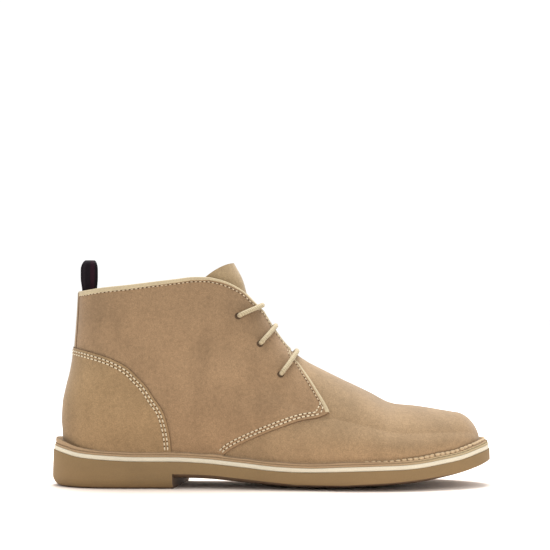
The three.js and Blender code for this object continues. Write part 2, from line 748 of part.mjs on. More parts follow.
// Pull loop: a folded tape that straddles the back seam, sewn to the inside of the upper.
function makePullLoop() {
  const tail = COLLAR_HEIGHT - LOOP_TAIL;
  const top = COLLAR_HEIGHT + LOOP_TOP;
  const arch = new THREE.Shape();
  const outline = (target, half, direction) => {
    const springing = top - LOOP_SPREAD / 2;
    if (direction > 0) {
      target.moveTo(half, tail);
      target.lineTo(half, springing);
      target.absarc(0, springing, half, 0, Math.PI, false);
      target.lineTo(-half, tail);
    } else {
      target.lineTo(-half, tail);
      target.lineTo(-half, springing);
      target.absarc(0, springing, half, Math.PI, 0, true);
      target.lineTo(half, tail);
    }
  };
  outline(arch, LOOP_SPREAD / 2, 1);
  outline(arch, LOOP_SPREAD / 2 - LOOP_THICKNESS, -1);
  const tape = new THREE.ExtrudeGeometry(arch, { depth: LOOP_WIDTH, bevelEnabled: false, curveSegments: 8 });
  tape.rotateX(Math.PI / 2);
  tape.rotateZ(Math.PI / 2);
  const back = backSeam(COLLAR_HEIGHT) + WALL + 3 * SEAT;
  tape.translate(back, 0, 0);
  return tape;
}

const group = new THREE.Group();
const colours = {
  sole: 0x9a8260, midsole: 0xf0ead6, welt: 0x8a7550, suede: 0xb4976f,
  insole: 0xc9b48f, lace: 0xcbbb98, webbing: 0x26202a,
};
const roughness = { sole: 0.8, midsole: 0.7, welt: 0.7, suede: 0.95, insole: 0.7, lace: 0.9, webbing: 0.9 };

function place(name, slot, geometry) {
  const material = new THREE.MeshStandardMaterial({
    color: colours[slot], roughness: roughness[slot], metalness: 0,
  });
  const mesh = new THREE.Mesh(geometry, material);
  mesh.name = name;
  group.add(mesh);
}

place('outsole', 'sole', makeOutsole());
place('midsole', 'midsole', makeMidsole());
place('welt', 'welt', makeWelt());
place('insole', 'insole', makeInsole());
place('upper', 'suede', makeUpper());
place('tongue', 'suede', makeTongue());
place('lace', 'lace', makeLace());
place('pull_loop', 'webbing', makePullLoop());

// The origin goes to the bottom centre of the whole boot.
const bounds = new THREE.Box3().setFromObject(group);
const centre = bounds.getCenter(new THREE.Vector3());
group.position.set(-centre.x, -centre.y, -bounds.min.z);

export default group;
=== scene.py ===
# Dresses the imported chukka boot: suede panels, seams, laces, sole layers, studio and camera.
# Millimetres in the sole's own axes, from the heel's back end: x forward, y inward, z up.
import math

import bpy
import bmesh
import numpy as np
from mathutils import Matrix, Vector


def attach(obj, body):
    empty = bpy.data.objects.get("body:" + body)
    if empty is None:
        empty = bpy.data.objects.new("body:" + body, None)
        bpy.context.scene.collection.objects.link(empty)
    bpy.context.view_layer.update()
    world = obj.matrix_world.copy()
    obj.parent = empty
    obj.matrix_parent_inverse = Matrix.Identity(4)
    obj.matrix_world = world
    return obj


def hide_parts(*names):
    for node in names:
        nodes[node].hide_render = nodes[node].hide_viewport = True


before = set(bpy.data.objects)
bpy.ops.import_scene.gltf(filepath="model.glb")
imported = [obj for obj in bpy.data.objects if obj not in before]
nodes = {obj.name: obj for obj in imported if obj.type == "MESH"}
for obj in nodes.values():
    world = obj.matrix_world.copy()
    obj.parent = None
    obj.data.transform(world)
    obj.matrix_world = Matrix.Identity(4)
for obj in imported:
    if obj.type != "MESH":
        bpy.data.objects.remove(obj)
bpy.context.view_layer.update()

# Where the sole's axes lie in the model's frame
ORIGIN = np.array([-150.1207, 0.9782, 0.0])
MM = 0.001

# Named sizes of the boot, as in the part's source
SOLE_LENGTH = 300.5
BALL_WIDTH = 104
HEEL_HEIGHT = 22
MIDSOLE_THICKNESS = 3
WELT_THICKNESS = 1
TREAD_CROWN = 4
HEEL_CORNER = 4.5
HEEL_CORNER_HEIGHT = 6.5
SIDE_TAPER = 0.8
BREAST_AT = 88
BREAST_SKEW = 0.135
MIDSOLE_INSET = 1.2
WELT_INSET = 1.7
LIP_INSET = 2.4
WELT_WIDTH = 11
HEEL_INSET = 6.6
TOE_INSET = 7.4
THROAT_HEIGHT = 88
COLLAR_HEIGHT = 132
WALL = 1.8
QUARTER_STEP = 1.2
COUNTER_STEP = 1
COUNTER_LIFT = QUARTER_STEP + COUNTER_STEP
LIP_THICKNESS = 1.3
SIDE_BULGE = 0.075
ANKLE_NARROWING = 0.07
TOE_PUFF_LENGTH = 16
THROAT_GAP = 19
THROAT_END = 166
LACE_DIAMETER = 2.8
LACE_SLACK = 0.65
SEAT = 0.3
HEEL_ROUND = 0.133 * SOLE_LENGTH
TOE_ROUND = 0.205 * SOLE_LENGTH
TREAD_FLAT = 0.45
TOE_FRONT = SOLE_LENGTH - TOE_INSET
LATERAL = -1
MEDIAL = 1

# Outline of the sole: place, centre line, lateral and medial half width
OUTLINE = np.array([
    (0.00, 0.000, 0.317, 0.317), (0.10, 0.000, 0.323, 0.322), (0.20, 0.000, 0.332, 0.322),
    (0.33, 0.000, 0.337, 0.298), (0.43, 0.000, 0.375, 0.270), (0.53, 0.005, 0.437, 0.298),
    (0.615, 0.010, 0.490, 0.380), (0.68, 0.014, 0.521, 0.447), (0.73, 0.019, 0.529, 0.471),
    (0.80, 0.024, 0.505, 0.466), (0.865, 0.027, 0.468, 0.442), (0.93, 0.030, 0.440, 0.418),
    (1.00, 0.032, 0.415, 0.400),
])
# Top of the midsole along the boot, in heel heights
DECK = np.array([
    (0.00, 1.260), (0.03, 1.175), (0.065, 1.070), (0.115, 1.010), (0.20, 0.957),
    (0.28, 0.955), (0.34, 0.920), (0.43, 0.808), (0.52, 0.690), (0.585, 0.668),
    (0.65, 0.708), (0.74, 0.748), (0.79, 0.766), (0.83, 0.808), (0.88, 0.908),
    (0.925, 1.010), (0.97, 1.175), (1.00, 1.270),
])
# Underside of the forefoot along its middle, in heel heights
TREAD = np.array([
    (0.25, 0.275), (0.32, 0.262), (0.365, 0.235), (0.41, 0.177), (0.47, 0.095),
    (0.53, 0.027), (0.56, 0.0), (0.65, 0.0), (0.70, 0.030), (0.76, 0.070),
    (0.82, 0.145), (0.875, 0.278), (0.925, 0.445), (0.96, 0.610), (1.02, 0.900),
])
# Back seam: height in collar heights, lean in sole lengths
BACK_SEAM = np.array([
    (0.20, 0.0310), (0.29, 0.0290), (0.335, 0.0275), (0.42, 0.0293), (0.50, 0.0363),
    (0.583, 0.0455), (0.65, 0.0510), (0.75, 0.0553), (0.875, 0.0595), (1.00, 0.0625),
    (1.25, 0.0680),
])
# Instep line in throat heights
INSTEP = np.array([
    (0.000, 4.340), (0.372, 2.033), (0.400, 1.858), (0.426, 1.695), (0.447, 1.572),
    (0.465, 1.464), (0.4945, 1.284), (0.519, 1.157), (0.540, 1.064), (0.560, 1.003),
    (0.583, 0.951), (0.619, 0.888), (0.656, 0.826), (0.692, 0.768), (0.729, 0.707),
    (0.747, 0.672), (0.765, 0.642), (0.784, 0.625), (0.820, 0.614), (0.857, 0.597),
    (0.893, 0.576), (0.930, 0.557), (1.000, 0.540),
])
# Levels of the last from the welt up: height at the back, place on the instep line
LEVELS = np.array([
    (0.000, 1.0000), (0.035, 0.9981), (0.075, 0.9924), (0.115, 0.9801), (0.160, 0.9586),
    (0.210, 0.9247), (0.260, 0.8796), (0.310, 0.8284), (0.360, 0.7792), (0.415, 0.7300),
    (0.470, 0.6766), (0.530, 0.6233), (0.590, 0.5782), (0.660, 0.5434), (0.730, 0.5126),
    (0.810, 0.4767), (0.890, 0.4408), (0.970, 0.4080),
])
# Lines seen from the side: place in sole lengths, height in collar heights
COLLAR_LINE = np.array([
    (-0.02, 0.990), (0.060, 0.999), (0.120, 1.020), (0.177, 1.034), (0.231, 1.049),
    (0.285, 1.064), (0.325, 1.074), (0.352, 1.073), (0.380, 1.061), (0.400, 1.045),
    (0.432, 1.003), (0.463, 0.931), (0.500, 0.845),
])
QUARTER_SEAM = np.array([
    (0.380, 0.100), (0.395, 0.174), (0.416, 0.211), (0.447, 0.246), (0.487, 0.286),
    (0.523, 0.317), (0.566, 0.348), (0.605, 0.364), (0.6285, 0.388), (0.624, 0.411),
    (0.606, 0.477), (0.586, 0.545), (0.561, 0.623), (0.540, 0.684), (0.560, 0.760),
])
COUNTER_SEAM = np.array([
    (-0.02, 0.718), (0.046, 0.713), (0.093, 0.692), (0.140, 0.659), (0.177, 0.614),
    (0.201, 0.562), (0.219, 0.519), (0.236, 0.461), (0.259, 0.381), (0.273, 0.245),
    (0.277, 0.100),
])
# Eyelets seen from the side, and where each lace crosses the instep
EYELETS = np.array([
    (0.426, 0.877, 0.473, 0.922), (0.474, 0.738, 0.502, 0.816), (0.5205, 0.583, 0.550, 0.674),
])


def curve_through(at, value):
    """Smooth curve through rows of numbers, without overshoot."""
    at = np.asarray(at, float)
    value = np.asarray(value, float)
    slope = np.diff(value) / np.diff(at)
    tangent = np.empty(len(at))
    tangent[0] = slope[0]
    tangent[-1] = slope[-1]
    before = slope[:-1]
    after = slope[1:]
    same = before * after > 0
    total = np.where(same, before + after, 1)
    tangent[1:-1] = np.where(same, 2 * before * after / total, 0)

    def curve(x):
        x = np.asarray(x, float)
        i = np.clip(np.searchsorted(at, x, side="right") - 1, 0, len(at) - 2)
        width = at[i + 1] - at[i]
        t = (x - at[i]) / width
        inside = (
            (2 * t**3 - 3 * t**2 + 1) * value[i]
            + (t**3 - 2 * t**2 + t) * width * tangent[i]
            + (3 * t**2 - 2 * t**3) * value[i + 1]
            + (t**3 - t**2) * width * tangent[i + 1]
        )
        low = value[0] + (x - at[0]) * tangent[0]
        high = value[-1] + (x - at[-1]) * tangent[-1]
        return np.where(x < at[0], low, np.where(x > at[-1], high, inside))

    return curve


centre_share, lateral_share, medial_share = (
    curve_through(OUTLINE[:, 0], OUTLINE[:, column]) for column in (1, 2, 3)
)
side_share = {LATERAL: lateral_share, MEDIAL: medial_share}
deck_share, tread_share, lean_share, crest_share = (
    curve_through(*table.T) for table in (DECK, TREAD, BACK_SEAM, INSTEP)
)
level_steps = np.arange(len(LEVELS)) / (len(LEVELS) - 1)
back_share = curve_through(level_steps, LEVELS[:, 0])
front_share = curve_through(level_steps, LEVELS[:, 1])


def smooth_step(x, low, high):
    t = np.clip((x - low) / (high - low), 0, 1)
    return t * t * (3 - 2 * t)


def rounded(distance, length):
    share = np.clip(distance / length, 0, 1)
    return np.sqrt(1 - (1 - share) ** 2)


def centre_line(x):
    return centre_share(x / SOLE_LENGTH) * BALL_WIDTH


def deck_top(x):
    return deck_share(x / SOLE_LENGTH) * HEEL_HEIGHT


def deck_bottom(x):
    return deck_top(x) - MIDSOLE_THICKNESS


def welt_top(x):
    return deck_top(x) + SEAT + WELT_THICKNESS


def feather(x):
    return welt_top(x) + SEAT


def back_seam(z):
    return lean_share(z / COLLAR_HEIGHT) * SOLE_LENGTH


def full_width(x, side):
    share = x / SOLE_LENGTH
    return np.where(side < 0, side_share[LATERAL](share), side_share[MEDIAL](share)) * BALL_WIDTH


def plan_edge(x, side, inset):
    heel = rounded(x - inset, HEEL_ROUND - inset)
    toe = rounded(SOLE_LENGTH - inset - x, TOE_ROUND - inset)
    return centre_line(x) + side * (full_width(x, side) - inset) * heel * toe


def tread(x, across):
    rise = np.maximum(0, (np.abs(across) - TREAD_FLAT) / (1 - TREAD_FLAT))
    return tread_share(x / SOLE_LENGTH) * HEEL_HEIGHT + TREAD_CROWN * rise * rise


def instep_line(x):
    low = feather(x)
    puff = rounded(TOE_FRONT - x, TOE_PUFF_LENGTH)
    return low + (crest_share(x / SOLE_LENGTH) * THROAT_HEIGHT - low) * puff


def section_share(height):
    swell = 1 + SIDE_BULGE * np.sin(np.pi * np.minimum(1, 1.9 * height))
    return swell * np.sqrt(np.maximum(0, 1 - height**2.4))


def last_y(x, z, side):
    low = feather(x)
    height = np.clip((z - low) / np.maximum(instep_line(x) - low, 0.01), 0, 1)
    heel = rounded(x - back_seam(z), HEEL_ROUND - HEEL_INSET)
    toe = rounded(TOE_FRONT - x, TOE_ROUND - TOE_INSET)
    ankle = smooth_step(z / COLLAR_HEIGHT, 0.35, 0.8)
    leg = ankle * (1 - smooth_step(x / SOLE_LENGTH, 0.3, 0.5))
    half = (full_width(x, side) - HEEL_INSET + 1) * (1 - ANKLE_NARROWING * leg)
    return centre_line(x) + side * half * heel * toe * section_share(height)


def last_point(level, turn):
    """Point on the last: level 0 at the welt, turn 0 at the back seam and pi on the instep."""
    level, turn = np.broadcast_arrays(np.asarray(level, float), np.asarray(turn, float))
    front = front_share(level) * TOE_FRONT
    back_height = back_share(level) * COLLAR_HEIGHT
    back = np.full(level.shape, float(HEEL_INSET))
    for _ in range(8):
        back = back_seam(feather(back) + back_height)
    along = (1 - np.cos(turn)) / 2
    x = back + (front - back) * along
    front_rise = instep_line(front) - feather(front)
    z = feather(x) + back_height + (front_rise - back_height) * along
    side = np.where(np.sin(turn) >= 0, LATERAL, MEDIAL)
    return np.stack([x, last_y(x, z, side), z], axis=-1)


def unit(vectors):
    return vectors / np.maximum(np.linalg.norm(vectors, axis=-1, keepdims=True), 1e-9)


def last_normal(level, turn):
    level, turn = np.broadcast_arrays(np.asarray(level, float), np.asarray(turn, float))
    step = 0.004
    up = last_point(level + step, turn) - last_point(np.maximum(level - step, 0), turn)
    around = last_point(level, turn + step) - last_point(level, turn - step)
    return unit(np.cross(around, up))


def last_surface(level, turn, offset):
    offset = np.asarray(offset, float)
    return last_point(level, turn) + last_normal(level, turn) * offset[..., None]


# Meshes are built in the sole's axes and stored in the model's frame

def add_mesh(name, points, faces, material, smooth=True, layers=None):
    mesh = bpy.data.meshes.new(name)
    mesh.from_pydata(((np.asarray(points) + ORIGIN) * MM).tolist(), [], faces)
    for layer, values in (layers or {}).items():
        attribute = mesh.attributes.new(layer, "FLOAT", "POINT")
        attribute.data.foreach_set("value", np.asarray(values, np.float32).ravel())
    mesh.materials.append(material)
    if smooth:
        mesh.polygons.foreach_set("use_smooth", [True] * len(mesh.polygons))
    mesh.update()
    piece = bpy.data.objects.new(name, mesh)
    bpy.context.scene.collection.objects.link(piece)
    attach(piece, "root")
    return piece


def grid_faces(rows, columns, start=0, flip=False, closed=False):
    i, j = np.meshgrid(np.arange(rows - 1), np.arange(columns if closed else columns - 1), indexing="ij")
    after = (j + 1) % columns
    quads = np.stack([
        i * columns + j, i * columns + after, (i + 1) * columns + after, (i + 1) * columns + j,
    ], axis=-1).reshape(-1, 4) + start
    return (quads[:, ::-1] if flip else quads).tolist()


def weld(piece, distance=0.02):
    work = bmesh.new()
    work.from_mesh(piece.data)
    bmesh.ops.remove_doubles(work, verts=work.verts, dist=distance * MM)
    work.to_mesh(piece.data)
    work.free()


def sweep_rings(name, rings, material, closed_ring=True, flip=False, caps=False, layers=None):
    rings = np.asarray(rings)
    rows, columns = rings.shape[:2]
    faces = grid_faces(rows, columns, closed=closed_ring, flip=flip)
    if caps:
        first = list(range(columns))
        last = list(range((rows - 1) * columns, rows * columns))
        faces += [first if flip else first[::-1], last[::-1] if flip else last]
    return add_mesh(name, rings.reshape(-1, 3), faces, material, layers=layers)


def inside_polygon(x, z, polygon):
    inside = np.zeros(np.shape(x), bool)
    for (x0, z0), (x1, z1) in zip(polygon, np.roll(polygon, -1, axis=0)):
        crosses = (z0 > z) != (z1 > z)
        rise = z1 - z0 if abs(z1 - z0) > 1e-9 else 1e-9
        inside ^= crosses & (x < (x1 - x0) * (z - z0) / rise + x0)
    return inside


def side_points(line):
    return line * [SOLE_LENGTH, COLLAR_HEIGHT]


def lengths(line):
    """Length along a line, from its start to each of its points."""
    steps = np.linalg.norm(np.diff(line, axis=0), axis=1)
    return np.concatenate([[0], np.cumsum(steps)])


def soften(line, sharp=()):
    """Rounds a coarse line with a smooth curve, keeping the corners with the given indices."""
    parts = []
    stops = [0, *sharp, len(line) - 1]
    for start, end in zip(stops[:-1], stops[1:]):
        part = line[start:end + 1]
        steps = lengths(part)
        at = np.linspace(0, steps[-1], 60)
        smooth = np.stack([curve_through(steps, part[:, k])(at) for k in (0, 1)], axis=-1)
        parts.append(smooth if not parts else smooth[1:])
    return np.concatenate(parts)


QUARTER_TIP = 8
collar_curve = curve_through(*side_points(COLLAR_LINE).T)
quarter_line = soften(side_points(QUARTER_SEAM), sharp=(QUARTER_TIP,))
counter_line = soften(side_points(COUNTER_SEAM))
ROOF = 2 * COLLAR_HEIGHT
quarter_area = np.vstack([
    [(-HEEL_HEIGHT, 0), (quarter_line[0, 0], 0)], quarter_line,
    [(quarter_line[-1, 0], ROOF), (-HEEL_HEIGHT, ROOF)],
])
counter_area = np.vstack([[(-HEEL_HEIGHT, 0), (counter_line[-1, 0], 0)], counter_line[::-1]])


def outside_quarter(level, turn):
    point = last_point(level, turn)
    return ~inside_polygon(point[..., 0], point[..., 2], quarter_area)


def inside_throat(level, turn):
    """Inside the slot between the facings, which ends in a half circle."""
    point = last_point(level, turn)
    radius = THROAT_GAP / 2
    over = np.maximum(point[..., 0] - (THROAT_END - radius), 0)
    return (point[..., 0] > BREAST_AT) & (np.hypot(over, point[..., 1]) < radius)


def first_turn(levels, leaves, samples=700):
    """Turn at each level where a region that starts at the back seam is left."""
    turns = np.linspace(1e-4, math.pi - 1e-4, samples)
    out = leaves(levels[:, None], turns[None, :])
    found = out.any(axis=1)
    index = np.where(found, out.argmax(axis=1), samples - 1)
    low = turns[np.maximum(index - 1, 0)]
    high = turns[index]
    for _ in range(20):
        middle = (low + high) / 2
        left = leaves(levels, middle)
        high = np.where(left, middle, high)
        low = np.where(left, low, middle)
    return np.where(found, low, math.pi)


level_table = np.linspace(0, 1.06, 900)
throat_turns = first_turn(level_table, inside_throat)
seam_turns = first_turn(level_table, outside_quarter)


def throat_turn(level):
    return np.interp(level, level_table, throat_turns)


def seam_turn(level):
    return np.interp(level, level_table, seam_turns)


def quarter_turn(level):
    return np.minimum(throat_turn(level), seam_turn(level))


def collar_level(share, turn_of):
    """Level at which a column of the given share of the turn meets the collar."""
    low = np.full(share.shape, 0.3)
    high = np.full(share.shape, 1.05)
    for _ in range(26):
        middle = (low + high) / 2
        point = last_point(middle, turn_of(middle) * share)
        above = point[..., 2] > collar_curve(point[..., 0])
        high = np.where(above, middle, high)
        low = np.where(above, low, middle)
    return (low + high) / 2


def even_rows(turn_of, top, count):
    """Shares of the top level, spaced by length along the front edge and partly by level."""
    levels = np.linspace(0, top, 3000)
    length = lengths(last_point(levels, turn_of(levels)))
    mixed = 0.65 * length / length[-1] + 0.35 * np.linspace(0, 1, len(levels))
    return np.interp(np.linspace(0, 1, count), mixed, levels) / top


# Soft creases and swells: side, place seen from the side,
# direction in degrees, half length, half width and height, all in millimetres
CREASES = [
    (LATERAL, 232, 50, 62, 15, 5.0, -0.45), (LATERAL, 241, 44, 55, 13, 4.5, 0.25),
    (LATERAL, 222, 60, 38, 12, 5.0, -0.35), (LATERAL, 140, 62, 20, 26, 9.0, -0.55),
    (LATERAL, 126, 78, 32, 22, 8.0, 0.35), (LATERAL, 96, 92, 15, 24, 9.0, -0.5),
    (LATERAL, 100, 112, 8, 26, 8.0, 0.3), (LATERAL, 62, 104, 4, 22, 8.0, -0.4),
    (LATERAL, 40, 58, 30, 18, 9.0, -0.4), (LATERAL, 52, 44, 75, 14, 8.0, 0.3),
    (LATERAL, 176, 72, 46, 14, 6.0, 0.35), (LATERAL, 168, 62, 44, 14, 6.0, -0.35),
    (LATERAL, 262, 40, 10, 16, 7.0, 0.3), (LATERAL, 205, 40, 8, 22, 7.0, -0.3),
    (MEDIAL, 228, 48, 60, 14, 5.0, -0.45), (MEDIAL, 238, 42, 52, 12, 4.5, 0.25),
    (MEDIAL, 132, 66, 25, 24, 9.0, -0.5), (MEDIAL, 118, 84, 30, 22, 8.0, 0.35),
    (MEDIAL, 92, 96, 12, 24, 9.0, -0.45), (MEDIAL, 45, 60, 32, 18, 9.0, -0.4),
    (MEDIAL, 172, 66, 45, 14, 6.0, -0.3), (MEDIAL, 60, 100, 2, 22, 8.0, 0.3),
]


def crease_height(point, side):
    height = np.zeros(point.shape[:-1])
    x = point[..., 0]
    z = point[..., 2]
    for crease_side, at, up, direction, long, wide, rise in CREASES:
        if crease_side != side:
            continue
        lean = math.radians(direction)
        along = (x - at) * math.cos(lean) + (z - up) * math.sin(lean)
        across = (z - up) * math.cos(lean) - (x - at) * math.sin(lean)
        height += rise * np.exp(-((along / long) ** 2) - (across / wide) ** 2)
    waves = 0.12 * np.sin(x / 7.3 + z / 11.1 + side) + 0.1 * np.sin(x / 12.7 - z / 6.1 + 2 * side)
    from_middle = smooth_step(np.abs(point[..., 1] - centre_line(x)), 1.5, 15)
    return (height + waves * smooth_step(z, 18, 40)) * from_middle


# Materials

class Shader:
    """A material with its main shader, and short calls that add and join nodes."""

    def __init__(self, name, roughness, sheen=0.0, specular=0.3):
        self.material = bpy.data.materials.new(name)
        self.material.use_nodes = True
        self.tree = self.material.node_tree
        self.main = self.tree.nodes["Principled BSDF"]
        self.main.inputs["Roughness"].default_value = roughness
        self.main.inputs["Specular IOR Level"].default_value = specular
        self.main.inputs["Sheen Weight"].default_value = sheen
        self.main.inputs["Sheen Roughness"].default_value = 0.45
        self.place = self.tree.nodes.new("ShaderNodeTexCoord").outputs["Object"]

    def node(self, kind, **inputs):
        node = self.tree.nodes.new(kind)
        for socket, value in inputs.items():
            self.join(value, node.inputs[socket.replace("_", " ")])
        return node

    def join(self, value, socket):
        if isinstance(value, bpy.types.NodeSocket):
            self.tree.links.new(value, socket)
        else:
            socket.default_value = value

    def noise(self, scale, detail=3.0, stretch=None):
        where = self.place
        if stretch:
            where = self.node("ShaderNodeMapping", Vector=where, Scale=stretch).outputs["Vector"]
        return self.node("ShaderNodeTexNoise", Vector=where, Scale=scale, Detail=detail).outputs["Fac"]

    def spread(self, value, low, high, to_low=0.0, to_high=1.0):
        node = self.node("ShaderNodeMapRange")
        self.join(value, node.inputs["Value"])
        for socket, number in zip(("From Min", "From Max", "To Min", "To Max"), (low, high, to_low, to_high)):
            self.join(number, node.inputs[socket])
        return node.outputs["Result"]

    def mix(self, share, first, second, blend="MIX"):
        node = self.node("ShaderNodeMix")
        node.data_type = "RGBA"
        node.blend_type = blend
        self.join(share, node.inputs["Factor"])
        self.join(first, node.inputs[6])
        self.join(second, node.inputs[7])
        return node.outputs[2]

    def math(self, operation, first, second):
        node = self.node("ShaderNodeMath")
        node.operation = operation
        self.join(first, node.inputs[0])
        self.join(second, node.inputs[1])
        return node.outputs[0]

    def attribute(self, name):
        node = self.node("ShaderNodeAttribute")
        node.attribute_name = name
        return node.outputs["Fac"]

    def position(self, axis):
        node = self.node("ShaderNodeSeparateXYZ")
        self.join(self.place, node.inputs[0])
        return node.outputs[axis]

    def colour(self, value):
        self.join(value, self.main.inputs["Base Color"])

    def bump(self, height, strength, distance):
        node = self.node("ShaderNodeBump", Strength=strength, Distance=distance * MM)
        self.join(height, node.inputs["Height"])
        if self.main.inputs["Normal"].is_linked:
            self.join(self.main.inputs["Normal"].links[0].from_socket, node.inputs["Normal"])
        self.join(node.outputs["Normal"], self.main.inputs["Normal"])


def shade(colour, by=1.0):
    return (*(channel * by for channel in colour), 1.0)


# One suede for every panel. The tints between panels are mostly painted light: the tongue is lighter where
# light falls on top, and the quarters and counter are a little darker as painted shade.
VAMP_SUEDE = (0.278, 0.19, 0.108)
QUARTER_SUEDE = (0.27, 0.174, 0.097)
COUNTER_SUEDE = (0.266, 0.176, 0.092)
TONGUE_SUEDE = (0.33, 0.238, 0.136)
LINING_TAN = (0.6, 0.47, 0.29)
INSOLE_TAN = (0.6, 0.48, 0.3)
CUT_EDGE = (0.44, 0.355, 0.225)
# Painted shade: dark walls at the foot of the panels' stepped edges.
EDGE_SHADE = (0.13, 0.072, 0.034)
# Painted shade: the dark inside of needle holes and punched eyelets.
HOLE_SHADE = (0.07, 0.04, 0.02)
THREAD = (0.64, 0.54, 0.38)
LIP_THREAD = (0.5, 0.37, 0.225)
RUBBER = (0.212, 0.136, 0.06)
# Painted shade: dark rubber on the underside and the heel's breast, in the recess under the waist.
SHADED_WAIST_RUBBER = (0.13, 0.078, 0.042)
CREAM_RUBBER = (0.6, 0.545, 0.425)
WELT_TAN = (0.33, 0.225, 0.13)
WELT_BEIGE = (0.4, 0.315, 0.19)


def suede_material(name, colour):
    """Brushed suede: soft clouds of lighter and darker nap over a fine fibre grain, with painted shade near
    the ground, and darker towards the collar from nap and painted shade.
    """
    shader = Shader(name, 0.95, sheen=0.19, specular=0.1)
    clouds = shader.spread(shader.noise(24, 2.0), 0.36, 0.64)
    brush = shader.spread(shader.noise(75, 4.0, stretch=(1.0, 1.0, 0.5)), 0.35, 0.68)
    pile = shader.spread(shader.noise(420, 3.0), 0.3, 0.7, 0.92, 1.08)
    fibre = shader.noise(1500, 2.5)
    # Painted shade: the suede turns darker towards the ground, where less light falls.
    low = shader.spread(shader.position("Z"), 0.016, 0.06, 1.0, 0.0)
    base = shader.mix(clouds, shade(colour, 0.84), shade(colour, 1.08))
    base = shader.mix(shader.math("MULTIPLY", brush, 0.42), base, shade(colour, 1.27))
    base = shader.mix(shader.math("MULTIPLY", low, 0.3), base, (0.26, 0.158, 0.08, 1.0))
    # Darker towards the collar: partly nap, partly painted shade.
    high = shader.spread(shader.position("Z"), 0.075, 0.12, 1.0, 0.87)
    base = shader.mix(1.0, base, high, "MULTIPLY")
    base = shader.mix(1.0, base, pile, "MULTIPLY")
    grain = shader.spread(fibre, 0.3, 0.7, 0.84, 1.16)
    shader.colour(shader.mix(1.0, base, grain, "MULTIPLY"))
    shader.bump(fibre, 0.35, 0.3)
    shader.bump(shader.noise(420, 3.0), 0.25, 0.4)
    return shader.material


def plain_leather(name, colour, roughness=0.7):
    shader = Shader(name, roughness, sheen=0.1)
    grain = shader.noise(900, 4.0)
    base = shader.mix(shader.spread(shader.noise(45), 0.3, 0.7), shade(colour, 0.9), shade(colour, 1.08))
    shader.colour(shader.mix(1.0, base, shader.spread(grain, 0.3, 0.7, 0.93, 1.07), "MULTIPLY"))
    shader.bump(grain, 0.3, 0.2)
    return shader.material


def rubber_material(name, colour, spots=0.06):
    """Moulded rubber with a faint grain, slightly marbled."""
    shader = Shader(name, 0.72, specular=0.35)
    marble = shader.spread(shader.noise(38, 4.0, stretch=(1.0, 1.0, 2.2)), 0.3, 0.7)
    base = shader.mix(marble, shade(colour, 1 - spots), shade(colour, 1 + spots))
    speck = shader.spread(shader.noise(1500, 2.0), 0.3, 0.7, 0.95, 1.05)
    shader.colour(shader.mix(1.0, base, speck, "MULTIPLY"))
    shader.bump(shader.noise(800, 3.0), 0.2, 0.2)
    return shader.material


def thread_material(name, colour):
    shader = Shader(name, 0.85, sheen=0.2)
    twist = shader.noise(3000, 2.0)
    shader.colour(shader.mix(shader.spread(twist, 0.35, 0.65), shade(colour, 0.82), shade(colour, 1.06)))
    shader.bump(twist, 0.4, 0.15)
    return shader.material


def welt_material():
    """The strip between lip and midsole: tan as the suede, paler around the toe."""
    shader = Shader("welt_strip", 0.8)
    toe = shader.spread(shader.position("X"), 0.07, 0.125)
    grain = shader.spread(shader.noise(900, 4.0), 0.3, 0.7, 0.93, 1.07)
    base = shader.mix(toe, shade(WELT_TAN), shade(WELT_BEIGE))
    shader.colour(shader.mix(1.0, base, grain, "MULTIPLY"))
    shader.bump(grain, 0.3, 0.2)
    return shader.material


edge_shade = plain_leather("edge_shade", EDGE_SHADE, 0.95)
suede_vamp = suede_material("suede_vamp", VAMP_SUEDE)
suede_quarter = suede_material("suede_quarter", QUARTER_SUEDE)
suede_counter = suede_material("suede_counter", COUNTER_SUEDE)
suede_tongue = suede_material("suede_tongue", TONGUE_SUEDE)
lining = plain_leather("lining", LINING_TAN)
cut_edge = plain_leather("cut_edge", CUT_EDGE, 0.85)
thread = thread_material("thread", THREAD)
lip_thread = thread_material("lip_thread", LIP_THREAD)
welt_strip = welt_material()
hole_shade = plain_leather("hole_shade", HOLE_SHADE, 0.95)


# Upper: vamp, quarters and heel counter, one panel over the other

def panel_grid(side, rows, levels_by_column, back_turn, front_turn, columns):
    level = rows[:, None] * levels_by_column[None, :]
    near = back_turn(level)
    turn = near + (front_turn(level) - near) * columns[None, :]
    return level, -side * turn


def join_halves(name, halves, material):
    """One mesh from the outer and the inner half, welded along their middle."""
    points = []
    faces = []
    for half_points, half_faces in halves:
        start = sum(len(part) for part in points)
        faces += [[index + start for index in face] for face in half_faces]
        points.append(half_points)
    piece = add_mesh(name, np.concatenate(points), faces, material)
    weld(piece)
    return piece


def make_panel(name, material, rows, levels, turns, step, dents=None):
    """A sheet over the last from its two halves, raised by a step, with the listed creases."""
    halves = []
    for side in (LATERAL, MEDIAL):
        level, turn = panel_grid(side, rows, levels, *turns, np.linspace(0, 1, len(levels)))
        base = last_point(level, turn)
        lift = step + crease_height(base, side)
        if dents:
            lift = lift + dents(base)
        points = base + last_normal(level, turn) * lift[..., None]
        halves.append((points.reshape(-1, 3), grid_faces(*level.shape, flip=side == MEDIAL)))
    return join_halves(name, halves, material)


def no_turn(level):
    return np.zeros(np.shape(level))


column_shares = np.linspace(0, 1, 190)
collar_levels = collar_level(column_shares, quarter_turn)
corner_level = collar_levels[-1]
quarter_rows = even_rows(quarter_turn, corner_level, 190)

seam_reach = last_point(level_table, seam_turns)[:, 0]
tip_level = level_table[np.argmax(np.where(level_table < 0.6, seam_reach, 0))]
meets = (level_table > tip_level) & (seam_turns >= throat_turns)
join_level = level_table[np.argmax(meets)]


